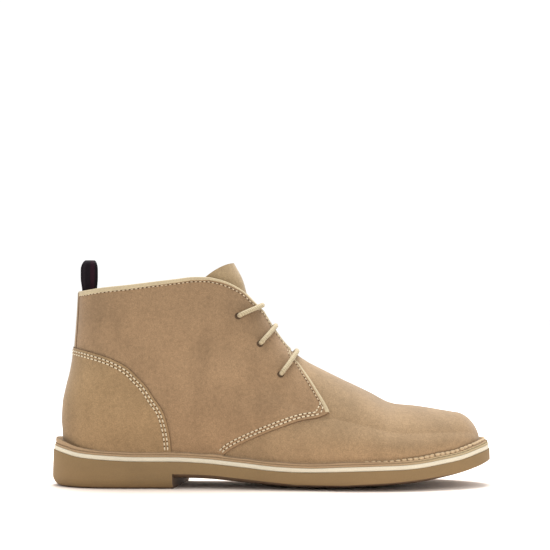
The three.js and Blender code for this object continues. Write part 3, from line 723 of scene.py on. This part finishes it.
def eyelet_dimple(points):
    """Leather drawn in a little around each eyelet."""
    dimple = np.zeros(points.shape[:-1])
    for at, up, _, _ in EYELETS:
        away = np.hypot(points[..., 0] - at * SOLE_LENGTH, points[..., 2] - up * COLLAR_HEIGHT)
        dimple -= 0.5 * np.exp(-((away / 2.4) ** 2))
    return dimple


def under_quarter(level):
    """Turn at which the vamp starts, a little behind the quarter's front edge."""
    return np.maximum(seam_turn(level) - 0.1, 0.02)


def outside_counter(level, turn):
    point = last_point(level, turn)
    return ~inside_polygon(point[..., 0], point[..., 2], counter_area)


counter_turns = first_turn(level_table, outside_counter)
counter_top = level_table[np.argmax(counter_turns < 0.02)]
counter_turns = np.where(level_table < counter_top, counter_turns, 0)


def counter_turn(level):
    return np.interp(level, level_table, counter_turns)


quarters = make_panel(
    "quarters", suede_quarter, quarter_rows, collar_levels, (no_turn, quarter_turn),
    QUARTER_STEP, eyelet_dimple,
)
vamp = make_panel(
    "vamp", suede_vamp, even_rows(throat_turn, join_level, 170), np.full(150, join_level),
    (under_quarter, throat_turn), 0,
)
counter = make_panel(
    "counter", suede_counter, even_rows(counter_turn, counter_top, 120), np.full(110, counter_top),
    (no_turn, counter_turn), COUNTER_LIFT,
)


# Edges, seams and stitches of the upper

class Edge:
    """A line over the last with its outward normals and the direction into its panel."""

    def __init__(self, side, level, turn, offset):
        base = last_point(level, -side * turn)
        self.out = last_normal(level, -side * turn)
        lift = offset + crease_height(base, side)
        self.points = base + self.out * lift[..., None]
        along = unit(np.gradient(self.points, axis=0))
        self.inward = side * unit(np.cross(along, self.out))

    def part(self, first, last):
        piece = object.__new__(Edge)
        piece.points = self.points[first:last]
        piece.out = self.out[first:last]
        piece.inward = self.inward[first:last]
        return piece

    def joined(self, other):
        """This line, followed by the other one from its end to its start."""
        piece = object.__new__(Edge)
        piece.points = np.concatenate([self.points, other.points[-2::-1]])
        piece.out = np.concatenate([self.out, other.out[-2::-1]])
        piece.inward = np.concatenate([self.inward, other.inward[-2::-1]])
        return piece

    def shifted(self, inward, up):
        return self.points + self.inward * inward + self.out * up


front_levels = quarter_rows * corner_level
edge_levels = np.concatenate([front_levels, collar_levels[-2::-1]])
edge_turns = np.concatenate([
    quarter_turn(front_levels), (quarter_turn(collar_levels) * column_shares)[-2::-1],
])
tip_row = int(np.argmin(np.abs(front_levels - tip_level)))
join_row = int(np.argmax(front_levels >= join_level))
quarter_edges = {
    side: Edge(side, edge_levels, edge_turns, np.full(len(edge_levels), QUARTER_STEP))
    for side in (LATERAL, MEDIAL)
}
counter_rows = even_rows(counter_turn, counter_top, 160) * counter_top
counter_edges = {
    side: Edge(side, counter_rows, counter_turn(counter_rows), np.full(160, COUNTER_LIFT))
    for side in (LATERAL, MEDIAL)
}


def edge_band(name, edge, width, profile, material):
    """A strip along an edge: the profile gives shares of the width and heights."""
    rings = [edge.shifted((share * width + over)[:, None], up) for share, over, up in profile]
    return sweep_rings(name, np.stack(rings, axis=1), material, closed_ring=False, flip=True)


COLLAR_PROFILE = [
    (1, 0, -0.1), (1, -0.12, 0.16), (0.6, 0, 0.26), (0.2, 0, 0.24), (0, -0.2, 0.0), (0, -0.4, -0.6),
    (0, -0.4, -1.5), (0, -0.15, -2.1), (0, 0.6, -2.35), (0, 2.2, -2.3), (0, 3.0, -2.0),
]
LAID_PROFILE = [
    (1, 0, -0.1), (1, -0.1, 0.1), (0.3, 0, 0.13), (0, -0.12, 0.0), (0, -0.2, -0.6), (0, -0.15, -1.4),
]


def make_edges():
    rim = quarter_edges[LATERAL].part(join_row, None).joined(quarter_edges[MEDIAL].part(join_row, None))
    width = np.interp(rim.points[:, 0], (15, 53, 101, 120), (3.1, 2.7, 2.0, 1.3))
    edge_band("collar_edge", rim, width, COLLAR_PROFILE, cut_edge)
    for name, side in (("outer", LATERAL), ("inner", MEDIAL)):
        facing = quarter_edges[side].part(tip_row, join_row + 1)
        to_tip = np.linalg.norm(facing.points - facing.points[0], axis=1)
        facing_width = np.interp(to_tip, (0, 9, 25), (2.6, 2.1, 1.5))
        edge_band(f"facing_edge_{name}", facing, facing_width, LAID_PROFILE, cut_edge)
        seam = quarter_edges[side].part(0, tip_row + 1)
        # The stepped edges of the quarters and the counter get dark walls of painted shade.
        edge_band(f"seam_edge_{name}", seam, np.full(len(seam.points), 0.1), LAID_PROFILE, edge_shade)
        back = counter_edges[side]
        edge_band(f"counter_edge_{name}", back, np.full(len(back.points), 0.1), LAID_PROFILE, edge_shade)


STITCH_LENGTH = 2.3
STITCH_PITCH = 3.15
STITCH_WIDTH = 0.98


class Stitches:
    """Collects stitches and their needle holes, for two joined meshes."""

    RING = [(-0.5, 0.15), (-0.38, 0.8), (-0.12, 1.0), (0.12, 1.0), (0.38, 0.8), (0.5, 0.15)]
    SIDES = 6

    def __init__(self):
        self.points = []
        self.faces = []
        self.hole_points = []
        self.hole_faces = []

    def stitch(self, middle, along, out, length=STITCH_LENGTH, width=STITCH_WIDTH, height=0.5):
        across = np.cross(out, along)
        start = len(self.points)
        for at, share in self.RING:
            for k in range(self.SIDES):
                angle = 2 * math.pi * k / self.SIDES
                sideways = across * (math.cos(angle) * width / 2 * share)
                upward = out * (math.sin(angle) * height * share + 0.06)
                self.points.append(middle + along * (at * length) + sideways + upward)
        self.faces += grid_faces(len(self.RING), self.SIDES, start=start, closed=True, flip=True)

    # Each needle hole is a dark disk of painted shade.
    def hole(self, middle, out, radius=0.5):
        across = unit(np.cross(out, [0.3, 0.2, 0.9]))
        forward = np.cross(out, across)
        start = len(self.hole_points)
        count = 8
        for k in range(count):
            angle = 2 * math.pi * k / count
            spoke = across * math.cos(angle) + forward * math.sin(angle)
            self.hole_points.append(middle + out * 0.1 + spoke * radius)
        self.hole_faces.append(list(range(start, start + count)))

    def row(self, line, out, first=0.0, last=0.0, pitch=STITCH_PITCH,
            length=STITCH_LENGTH, width=STITCH_WIDTH):
        """Stitches along a line, each with a needle hole after it."""
        at = lengths(line)
        for place in np.arange(first + pitch / 2, at[-1] - last, pitch):
            middle = self.along_line(line, at, place)
            ahead = self.along_line(line, at, min(place + 0.8, at[-1]))
            normal = unit(self.along_line(out, at, place))
            self.stitch(middle, unit(ahead - middle), normal, length, width)
            self.hole(self.along_line(line, at, min(place + pitch / 2, at[-1])), normal)

    @staticmethod
    def along_line(line, at, place):
        return np.array([np.interp(place, at, line[:, k]) for k in range(3)])

    def build(self, name, material):
        add_mesh(name, self.points, self.faces, material)
        if self.hole_faces:
            add_mesh("needle_holes", self.hole_points, self.hole_faces, hole_shade, smooth=False)


def point_after(line, distance):
    return Stitches.along_line(line, lengths(line), distance)


def make_stitches():
    sewing = Stitches()
    for side in (LATERAL, MEDIAL):
        edge = quarter_edges[side]
        lower = edge.part(0, tip_row + 1)
        upper_row = edge.part(tip_row, None)
        facing_line = upper_row.shifted(3.0, 0.0)
        sewing.row(facing_line, upper_row.out, first=5.5, pitch=2.9, length=1.5, width=0.45)
        for inward, last, up_facing in ((2.2, 4.5, 5.5), (4.2, 7.6, 9.0)):
            line = lower.shifted(inward, 0.0)
            sewing.row(line, lower.out, first=3, last=last)
            corner_stop = point_after(line[::-1], last)
            facing_start = point_after(facing_line, up_facing)
            sewing.row(np.array([corner_stop, facing_start]), lower.out[-2:], pitch=2.6, length=1.8)
        back = counter_edges[side]
        for inward in (2.2, 4.2):
            sewing.row(back.shifted(inward, 0.0), back.out, first=3, last=1)
    return sewing


BACK_STRIP_TURN = 0.2


def make_back_strip():
    """Narrow strip that covers the back seam from the counter to the collar, with its side walls in painted
    shade.
    """
    level = np.linspace(counter_top - 0.01, collar_levels[0] - 0.004, 60)[:, None]
    turn = np.linspace(-BACK_STRIP_TURN, BACK_STRIP_TURN, 25)[None, :]
    base = last_point(level, turn)
    normal = last_normal(level, turn)
    lift = QUARTER_STEP + 0.42 * np.ones_like(turn)
    points = base + normal * lift[..., None]
    strip = add_mesh("back_strip", points.reshape(-1, 3), grid_faces(60, 25), suede_counter)
    for name, side in (("outer", LATERAL), ("inner", MEDIAL)):
        seam_level = level[:, 0]
        seam = Edge(side, seam_level, np.full(60, BACK_STRIP_TURN), np.full(60, QUARTER_STEP + 0.42))
        rings = np.stack([seam.points, seam.points - seam.inward * 0.45 - seam.out * 0.42], axis=1)
        sweep_rings(f"back_strip_side_{name}", rings, edge_shade, closed_ring=False, flip=True)
    return strip


sewing = make_stitches()
make_edges()
back_strip = make_back_strip()


# Turned-out lip of the upper over the welt, with its lock stitches

LIP_COUNT = 900
LIP_PITCH = 4.2
LIP_HEEL_RISE = 2.3
LOCK_STITCHES_FROM = 212


def lip_height(x):
    """Thickness of the lip: flared at the heel's back, uneven where the seams run under it."""
    uneven = 0.14 * np.sin(x / 3.4) + 0.12 * np.sin(x / 7.9 + 1)
    folds = 0.7 * np.exp(-(((x - 80) / 4.5) ** 2)) + 0.6 * np.exp(-(((x - 113) / 6) ** 2))
    return LIP_THICKNESS + LIP_HEEL_RISE * (1 - smooth_step(x, 3, 36)) + uneven + folds


def lip_rings():
    turn = 2 * math.pi * np.arange(LIP_COUNT) / LIP_COUNT
    along = (1 - np.cos(turn)) / 2
    x = LIP_INSET + (SOLE_LENGTH - 2 * LIP_INSET) * along
    side = np.where(np.sin(turn) >= 0, LATERAL, MEDIAL)
    plain = np.stack([x, plan_edge(x, side, LIP_INSET), feather(x)], axis=-1)
    phase = 2 * math.pi * lengths(plain) / LIP_PITCH
    swell = 0.5 + 0.5 * np.cos(phase)
    strength = 0.3 + 0.7 * smooth_step(x, 215, 262)
    edge = np.stack([x, plan_edge(x, side, LIP_INSET + 0.4 * strength * (1 - swell)), feather(x)], axis=-1)
    thick = lip_height(x)
    rise = np.stack([0 * x, 0 * x, thick], axis=-1)
    offset = 0
    for step, share in ((QUARTER_STEP, 0.385), (COUNTER_STEP, 0.277)):
        end = share * SOLE_LENGTH
        offset = offset + step * (1 - smooth_step(x, end - 1, end + 1))
    wall = last_surface(0.028, turn, offset - 0.1)
    top = edge + rise
    corner = wall * 0.9 + top * 0.1
    corner[:, 2] = np.minimum(wall[:, 2], top[:, 2]) - 0.4
    rings = []
    for t in np.linspace(0, 1, 8):
        point = wall * (1 - t) ** 2 + corner * (2 * t * (1 - t)) + top * t**2
        point[:, 2] += 0.5 * strength * swell * math.sin(math.pi * t)
        rings.append(point)
    outward = unit((top - wall) * [1, 1, 0])
    rings += [edge + outward * 0.22 + rise * 0.9, edge + outward * 0.32 + rise * 0.5]
    rings += [edge + outward * 0.15 + [0, 0, 0.05], edge - outward * 2 + [0, 0, 0.02]]
    return np.stack(rings), phase, strength


def make_lip():
    """The lip, its cut edge and the plump lock stitches that lie along it."""
    rings, phase, strength = lip_rings()
    piece = sweep_rings("lip", rings[:9], suede_vamp, flip=True)
    rim = sweep_rings("lip_edge", rings[8:], welt_strip, flip=True)
    lock = Stitches()
    crests = np.nonzero(np.diff(np.floor(phase / (2 * math.pi))) > 0)[0]
    for index in crests[rings[0][crests, 0] > LOCK_STITCHES_FROM]:
        before = rings[5][index - 2]
        after = rings[5][(index + 2) % LIP_COUNT]
        middle = rings[5][index]
        outward = unit((rings[8][index] - rings[0][index]) * [1, 1, 0])
        along = unit(unit(after - before) + outward * 0.3)
        size = strength[index]
        up = unit(np.array([0, 0, 1.0]) - along * along[2])
        plump = (2.3 + 1.6 * size, 0.6 + 1.3 * size, 0.3 + 0.8 * size)
        lock.stitch(middle + up * (0.45 * size), along, up, *plump)
    lock.build("lip_stitches", lip_thread)
    return piece, rim


lip, lip_edge = make_lip()


# Lining inside the shaft, the eyelets and the meshes of the stitches

def make_lining():
    halves = []
    shares = np.linspace(0, 1, 90)
    tops = collar_level(shares, throat_turn)
    rows = even_rows(throat_turn, tops[-1], 110)
    near_rim = smooth_step(rows, 0.86, 0.97)[:, None]
    near_front = smooth_step(shares, 0.9, 0.98)[None, :] * (rows > 0.8)[:, None]
    for side in (LATERAL, MEDIAL):
        level, turn = panel_grid(side, rows, tops - 0.004, no_turn, throat_turn, shares)
        offset = -WALL + 0.9 * np.clip(near_rim + near_front, 0, 1)
        points = last_point(level, turn) + last_normal(level, turn) * offset[..., None]
        halves.append((points.reshape(-1, 3), grid_faces(*level.shape, flip=side == LATERAL)))
    return join_halves("lining", halves, lining)


def locate(target, side):
    """Level and turn of a point of the last that is seen from the side."""
    best = np.array([0.8, 2.6])
    spread = np.array([0.25, 0.55])
    for _ in range(14):
        levels = best[0] + spread[0] * np.linspace(-1, 1, 15)
        turns = np.clip(best[1] + spread[1] * np.linspace(-1, 1, 15), 0.02, math.pi)
        grid = last_point(levels[:, None], turns[None, :])
        miss = np.hypot(grid[..., 0] - target[0], grid[..., 2] - target[1])
        i, j = np.unravel_index(np.argmin(miss), miss.shape)
        best = np.array([levels[i], turns[j]])
        spread = spread * 0.45
    return best[0], -side * best[1]


def make_eyelets():
    """Punched holes: a dark crescent of painted shade shows beside each lace end, away from the instep."""
    rings = []
    for at, up, over_at, over_up in EYELETS:
        hole = np.array([at * SOLE_LENGTH, up * COLLAR_HEIGHT])
        over = np.array([over_at * SOLE_LENGTH, over_up * COLLAR_HEIGHT])
        hole = hole - unit(over - hole) * 0.9
        for side in (LATERAL, MEDIAL):
            level, turn = locate(hole, side)
            out = last_normal(level, turn)
            base = last_point(level, turn)
            middle = base + out * (QUARTER_STEP + crease_height(base, side))
            across = unit(np.cross(out, [0, 0, 1]))
            upward = np.cross(across, out)
            for radius, height in ((0.01, -0.3), (1.3, -0.16), (2.3, 0.02)):
                angles = 2 * math.pi * np.arange(20) / 20
                circle = across[None] * np.cos(angles)[:, None] + upward[None] * np.sin(angles)[:, None]
                rings.append(middle + circle * radius + out * height)
    points = np.concatenate(rings)
    faces = []
    for k in range(0, len(rings), 3):
        faces += grid_faces(3, 20, start=20 * k, closed=True)
    return add_mesh("eyelets", points, faces, hole_shade)


lining_piece = make_lining()
eyelets = make_eyelets()
sewing.build("stitches", thread)
for piece in (quarters, vamp, counter, lip, lining_piece, eyelets):
    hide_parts("upper")


# Tongue

TONGUE_THICKNESS = 2
TONGUE_FOOT = 0.655
TONGUE_TOP = 0.96
TONGUE_SLOPE = 0.052
TONGUE_FOOT_SPREAD = 0.42
TONGUE_TOP_SPREAD = 1.15


def make_tongue():
    rows = np.linspace(0, 1, 110)[:, None]
    across = np.linspace(-1, 1, 120)[None, :]
    top = TONGUE_TOP - TONGUE_SLOPE * np.abs(across) ** 3
    level = TONGUE_FOOT + (top - TONGUE_FOOT) * rows
    spread = TONGUE_FOOT_SPREAD + (TONGUE_TOP_SPREAD - TONGUE_FOOT_SPREAD) * rows
    turn = math.pi + across * spread
    under_lace = WALL + 2 * LACE_SLACK + LACE_DIAMETER
    dip = smooth_step(level, 0.655, 0.72) * (1 - smooth_step(level, 0.875, 0.935))
    depth = WALL + SEAT + (under_lace - WALL - SEAT) * dip
    side = np.where(np.sin(turn) >= 0, LATERAL, MEDIAL)
    base = last_point(level, turn)
    under_bars = smooth_step(level, 0.72, 0.8) * (1 - smooth_step(level, 0.86, 0.93))
    ripple = 0.35 * np.sin(base[..., 2] / 4.3) * under_bars
    normal = last_normal(level, turn)
    outer = base + normal * (ripple - depth)[..., None]
    inner = outer - normal * TONGUE_THICKNESS
    between = [outer * (1 - share) + inner * share for share in (0.25, 0.5, 0.75)]
    right_rim = [layer[:, -1:] for layer in between]
    left_rim = [layer[:, :1] for layer in between[::-1]]
    ring = np.concatenate([outer, *right_rim, inner[:, ::-1], *left_rim], axis=1)
    piece = sweep_rings("tongue_leather", ring, suede_tongue)
    cap_rows = np.stack([layer[-1] for layer in (outer, *between, inner)])
    cap = sweep_rings("tongue_top", cap_rows, cut_edge, closed_ring=False)
    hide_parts("tongue")
    return piece, cap


# Lace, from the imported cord, made round and given its twist

LACE_PLUMP = 0.34
LACE_DARK = (0.34, 0.27, 0.165)
LACE_PALE = (0.46, 0.385, 0.25)


def lace_material():
    shader = Shader("lace_cord", 0.85, sheen=0.15, specular=0.25)
    weave = shader.node("ShaderNodeTexWave", Vector=shader.place, Scale=230.0, Distortion=3.0)
    weave.bands_direction = "DIAGONAL"
    fine = shader.noise(1900, 3.0)
    height = shader.math("ADD", weave.outputs["Fac"], fine)
    shader.colour(shader.mix(shader.spread(height, 0.4, 1.5), shade(LACE_DARK), shade(LACE_PALE)))
    shader.bump(height, 0.3, 0.2)
    return shader.material


def make_lace():
    mesh = nodes["lace"].data.copy()
    mesh.name = "lace_cord"
    mesh.materials.clear()
    mesh.materials.append(lace_material())
    piece = bpy.data.objects.new("lace_cord", mesh)
    bpy.context.scene.collection.objects.link(piece)
    weld(piece, 0.01)
    for vertex, normal in [(vertex, vertex.normal.copy()) for vertex in mesh.vertices]:
        vertex.co += normal * (LACE_PLUMP * MM)
    mesh.polygons.foreach_set("use_smooth", [True] * len(mesh.polygons))
    smooth = piece.modifiers.new("round", "SUBSURF")
    smooth.levels = 2
    smooth.render_levels = 2
    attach(piece, "root")
    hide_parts("lace")
    return piece


# Pull loop: a folded tape that straddles the back seam

LOOP_WIDTH = 11.2
LOOP_SPREAD = 8.2
LOOP_THICKNESS = 1.3
LOOP_TOP = 21.7
LOOP_TAIL = 10
LOOP_MIDDLE = 25.3


def webbing_material():
    """Dark woven tape: fine ribs along its length, a dark red stripe and a faint grey one."""
    shader = Shader("webbing", 0.85, sheen=0.04, specular=0.15)
    across = shader.attribute("across")
    ribs = shader.math("SINE", shader.math("MULTIPLY", across, 75.0), 0.0)
    weft = shader.math("SINE", shader.math("MULTIPLY", shader.position("Z"), 9000.0), 0.0)
    weave = shader.math("MULTIPLY", ribs, weft)
    red = shader.math("MULTIPLY", shader.spread(across, 0.56, 0.62), shader.spread(across, 0.9, 0.84))
    grey = shader.math("MULTIPLY", shader.spread(across, 0.1, 0.16), shader.spread(across, 0.3, 0.24))
    base = shader.mix(red, shade((0.005, 0.0025, 0.005)), shade((0.02, 0.004, 0.01)))
    base = shader.mix(shader.math("MULTIPLY", grey, 0.4), base, shade((0.02, 0.017, 0.02)))
    shader.colour(shader.mix(shader.spread(weave, -1, 1, 0, 0.25), base, shade((0.02, 0.013, 0.017))))
    shader.bump(weave, 0.5, 0.2)
    return shader.material


def make_loop():
    tail = COLLAR_HEIGHT - LOOP_TAIL
    springing = COLLAR_HEIGHT + LOOP_TOP - LOOP_SPREAD / 2
    middle_half = (LOOP_SPREAD - LOOP_THICKNESS) / 2
    legs = np.linspace(tail, springing, 40)
    arch = math.pi * np.arange(1, 24) / 24
    path = [(0, z, 1) for z in legs]
    path += [(turn, springing + middle_half * math.sin(turn), 0) for turn in arch]
    path += [(math.pi, z, 1) for z in legs[::-1]]
    rings = []
    shares = []
    columns = 28
    for turn, z, straight in path:
        bow = straight * 0.55 * math.sin(math.pi * min(max((z - 132) / 19, 0), 1))
        y = -(middle_half + bow) * math.cos(turn)
        out = np.array([0, -math.cos(turn), math.sin(turn)])
        top_share = min(max((z - 147.0) / 7.2, 0), 1)
        half = LOOP_WIDTH / 2 - 0.9 * (1 - smooth_step(z, 131, 142))
        half -= 4.4 * (1 - math.sqrt(1 - top_share**2))
        lean = -0.2 - 0.2 * smooth_step(z, 132, 143) + 0.7 * top_share**2
        ring = []
        for k in range(columns):
            angle = 2 * math.pi * k / columns
            flat = abs(math.cos(angle)) ** 0.35 * math.copysign(1, math.cos(angle))
            thick = abs(math.sin(angle)) ** 0.5 * math.copysign(1, math.sin(angle))
            place = np.array([LOOP_MIDDLE + lean + half * flat, y, z])
            ring.append(place + out * (thick * LOOP_THICKNESS / 2 * 0.92))
            shares.append((flat + 1) / 2)
        rings.append(ring)
    material = webbing_material()
    layers = {"across": shares}
    piece = sweep_rings("pull_tape", rings, material, flip=True, caps=True, layers=layers)
    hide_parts("pull_loop")
    return piece


# Sole: outsole with its hollowed waist, cream midsole and welt strip

FINE_TURNS = 280
RIM_ROUND = 0.25


def outline_ring(inset, height):
    turn = 2 * math.pi * np.arange(FINE_TURNS) / FINE_TURNS
    x = inset + (SOLE_LENGTH - 2 * inset) * (1 - np.cos(turn)) / 2
    side = np.where(np.sin(turn) >= 0, LATERAL, MEDIAL)
    z = height(x) if callable(height) else np.full(len(x), float(height))
    return np.stack([x, plan_edge(x, side, inset), z], axis=-1)


def make_hollow(material):
    """The space under the waist and the toe that is cut out of the outsole's block."""
    stations = np.linspace(0, 1, 90)[:, None]
    across = np.linspace(-1.3, 1.3, 41)[None, :]
    start = BREAST_AT + across * BREAST_SKEW * BALL_WIDTH / 3
    x = start + (SOLE_LENGTH + 10 - start) * stations
    y = centre_line(x) + across * full_width(x, np.sign(across + 1e-9))
    under = np.stack([x, y, tread(x, across)], axis=-1)
    floor = under.copy()
    floor[..., 2] = -10
    rows, columns = x.shape
    points = np.concatenate([under.reshape(-1, 3), floor.reshape(-1, 3)])
    faces = grid_faces(rows, columns) + grid_faces(rows, columns, start=rows * columns, flip=True)
    border = list(range(columns))
    border += [i * columns + columns - 1 for i in range(1, rows)]
    border += [(rows - 1) * columns + j for j in range(columns - 2, -1, -1)]
    border += [i * columns for i in range(rows - 2, 0, -1)]
    low = rows * columns
    for a, b in zip(border, border[1:] + border[:1]):
        faces.append([b, a, a + low, b + low])
    return add_mesh("hollow", points, faces, material)


def make_outsole():
    material = rubber_material("outsole_rubber", RUBBER)
    stages = [
        (HEEL_CORNER, 0.0), (HEEL_CORNER * 0.62, 0.9), (HEEL_CORNER * 0.3, HEEL_CORNER_HEIGHT * 0.4),
        (0.35, HEEL_CORNER_HEIGHT * 0.72), (0.0, HEEL_CORNER_HEIGHT),
        (SIDE_TAPER - 0.2, lambda x: deck_bottom(x) - 0.5), (SIDE_TAPER, deck_bottom),
    ]
    rings = [outline_ring(inset, height) for inset, height in stages]
    block = sweep_rings("outsole_rubber", rings, material, flip=True, caps=True)
    tool = make_hollow(material)
    for part in (block, tool):
        work = bmesh.new()
        work.from_mesh(part.data)
        bmesh.ops.recalc_face_normals(work, faces=work.faces)
        work.to_mesh(part.data)
        work.free()
    cut = block.modifiers.new("waist", "BOOLEAN")
    cut.operation = "DIFFERENCE"
    cut.object = tool
    cut.solver = "EXACT"
    bpy.context.view_layer.update()
    shaped = bpy.data.meshes.new_from_object(block.evaluated_get(bpy.context.evaluated_depsgraph_get()))
    block.modifiers.clear()
    block.data = shaped
    bpy.data.objects.remove(tool)
    shaped.polygons.foreach_set("use_smooth", [True] * len(shaped.polygons))
    shaped.set_sharp_from_angle(angle=math.radians(32))
    shaped.materials.clear()
    shaped.materials.append(material)
    shaped.materials.append(rubber_material("shaded_waist", SHADED_WAIST_RUBBER))
    # Painted shade: faces under the waist and on the heel's breast get the dark rubber of the shaded recess.
    breast = (BREAST_AT + BREAST_SKEW * BALL_WIDTH + ORIGIN[0]) * MM
    for face in shaped.polygons:
        shaded_breast = face.normal.x > 0.6 and face.center.x < breast and face.center.z < 0.007
        face.material_index = 1 if face.normal.z < -0.75 and face.center.z > 0.0001 or shaded_breast else 0
    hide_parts("outsole")
    return block


def layer_slab(name, inset, low, high, inner, material):
    """A flat layer of the sole around its edge, softly rounded at its rim."""
    stages = [
        (inner, low), (inset + RIM_ROUND, low), (inset, lambda x: low(x) + RIM_ROUND),
        (inset, lambda x: high(x) - RIM_ROUND), (inset + RIM_ROUND, high), (inner, high),
    ]
    rings = [outline_ring(ring_inset, height) for ring_inset, height in stages]
    rings.append(rings[0])
    return sweep_rings(name, rings, material, flip=True)


def make_sole_layers():
    cream = rubber_material("cream_rubber", CREAM_RUBBER, 0.03)
    middle = layer_slab(
        "midsole_layer", MIDSOLE_INSET, lambda x: deck_bottom(x) + 0.05, deck_top, 14, cream,
    )
    strip = layer_slab(
        "welt_layer", WELT_INSET, lambda x: deck_top(x) + 0.02, lambda x: welt_top(x) + 0.25, WELT_WIDTH,
        welt_strip,
    )
    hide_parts("midsole")
    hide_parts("welt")


make_tongue()
make_lace()
make_loop()
make_outsole()
make_sole_layers()
insole = nodes["insole"]
insole.data.materials.clear()
insole.data.materials.append(plain_leather("insole_leather", INSOLE_TAN))


# Studio: pale floor with painted warm bounce light near the boot, soft lights and the camera

FLOOR_REACH = 6.0
FLOOR_DROP = 0.0003
FLOOR_PALE = (0.97, 0.97, 0.97)
FLOOR_BOUNCE = (1.0, 0.9, 0.82)
SKY_STRENGTH = 1.05
TOP_POWER = 24
FRONT_POWER = 2
CAMERA_PLACE = (0.00228, -1.49902, 0.1435)
CAMERA_LENS = 143.0


def soft_light(name, place, target, size, power):
    data = bpy.data.lights.new(name, "AREA")
    data.shape = "SQUARE"
    data.size = size
    data.energy = power
    light = bpy.data.objects.new(name, data)
    light.location = place
    light.rotation_euler = (Vector(target) - Vector(place)).to_track_quat("-Z", "Y").to_euler()
    bpy.context.scene.collection.objects.link(light)


def make_studio():
    floor_shader = Shader("floor", 0.9, specular=0.1)
    # Painted light: the floor near the boot is tinted warm, as light bounced off the boot would tint its
    # shadow.
    away = floor_shader.node("ShaderNodeVectorMath", Vector=floor_shader.place)
    away.operation = "LENGTH"
    bounce_tint = floor_shader.spread(away.outputs["Value"], 0.16, 0.4, 1.0, 0.0)
    floor_shader.colour(floor_shader.mix(bounce_tint, shade(FLOOR_PALE), shade(FLOOR_BOUNCE)))
    mesh = bpy.data.meshes.new("floor")
    signs = ((-1, -1), (1, -1), (1, 1), (-1, 1))
    mesh.from_pydata([(x * FLOOR_REACH, y * FLOOR_REACH, 0) for x, y in signs], [], [(0, 1, 2, 3)])
    mesh.materials.append(floor_shader.material)
    floor = bpy.data.objects.new("floor", mesh)
    floor.location = (0, 0, -FLOOR_DROP)
    bpy.context.scene.collection.objects.link(floor)
    world = bpy.data.worlds.new("studio")
    world.use_nodes = True
    background = world.node_tree.nodes["Background"].inputs
    background["Color"].default_value = (1, 1, 1, 1)
    background["Strength"].default_value = SKY_STRENGTH
    bpy.context.scene.world = world
    soft_light("top", (0.05, 0.45, 1.2), (0, 0, 0.05), 0.8, TOP_POWER)
    soft_light("front", (0.5, -1.3, 0.9), (0, 0, 0.06), 1.0, FRONT_POWER)
    bpy.context.scene.view_settings.view_transform = "Standard"


def make_camera():
    data = bpy.data.cameras.new("camera")
    data.lens = CAMERA_LENS
    data.sensor_width = 36
    camera = bpy.data.objects.new("camera", data)
    camera.location = CAMERA_PLACE
    camera.rotation_euler = (math.radians(90), 0, 0)
    bpy.context.scene.collection.objects.link(camera)
    bpy.context.scene.camera = camera


make_studio()
make_camera()
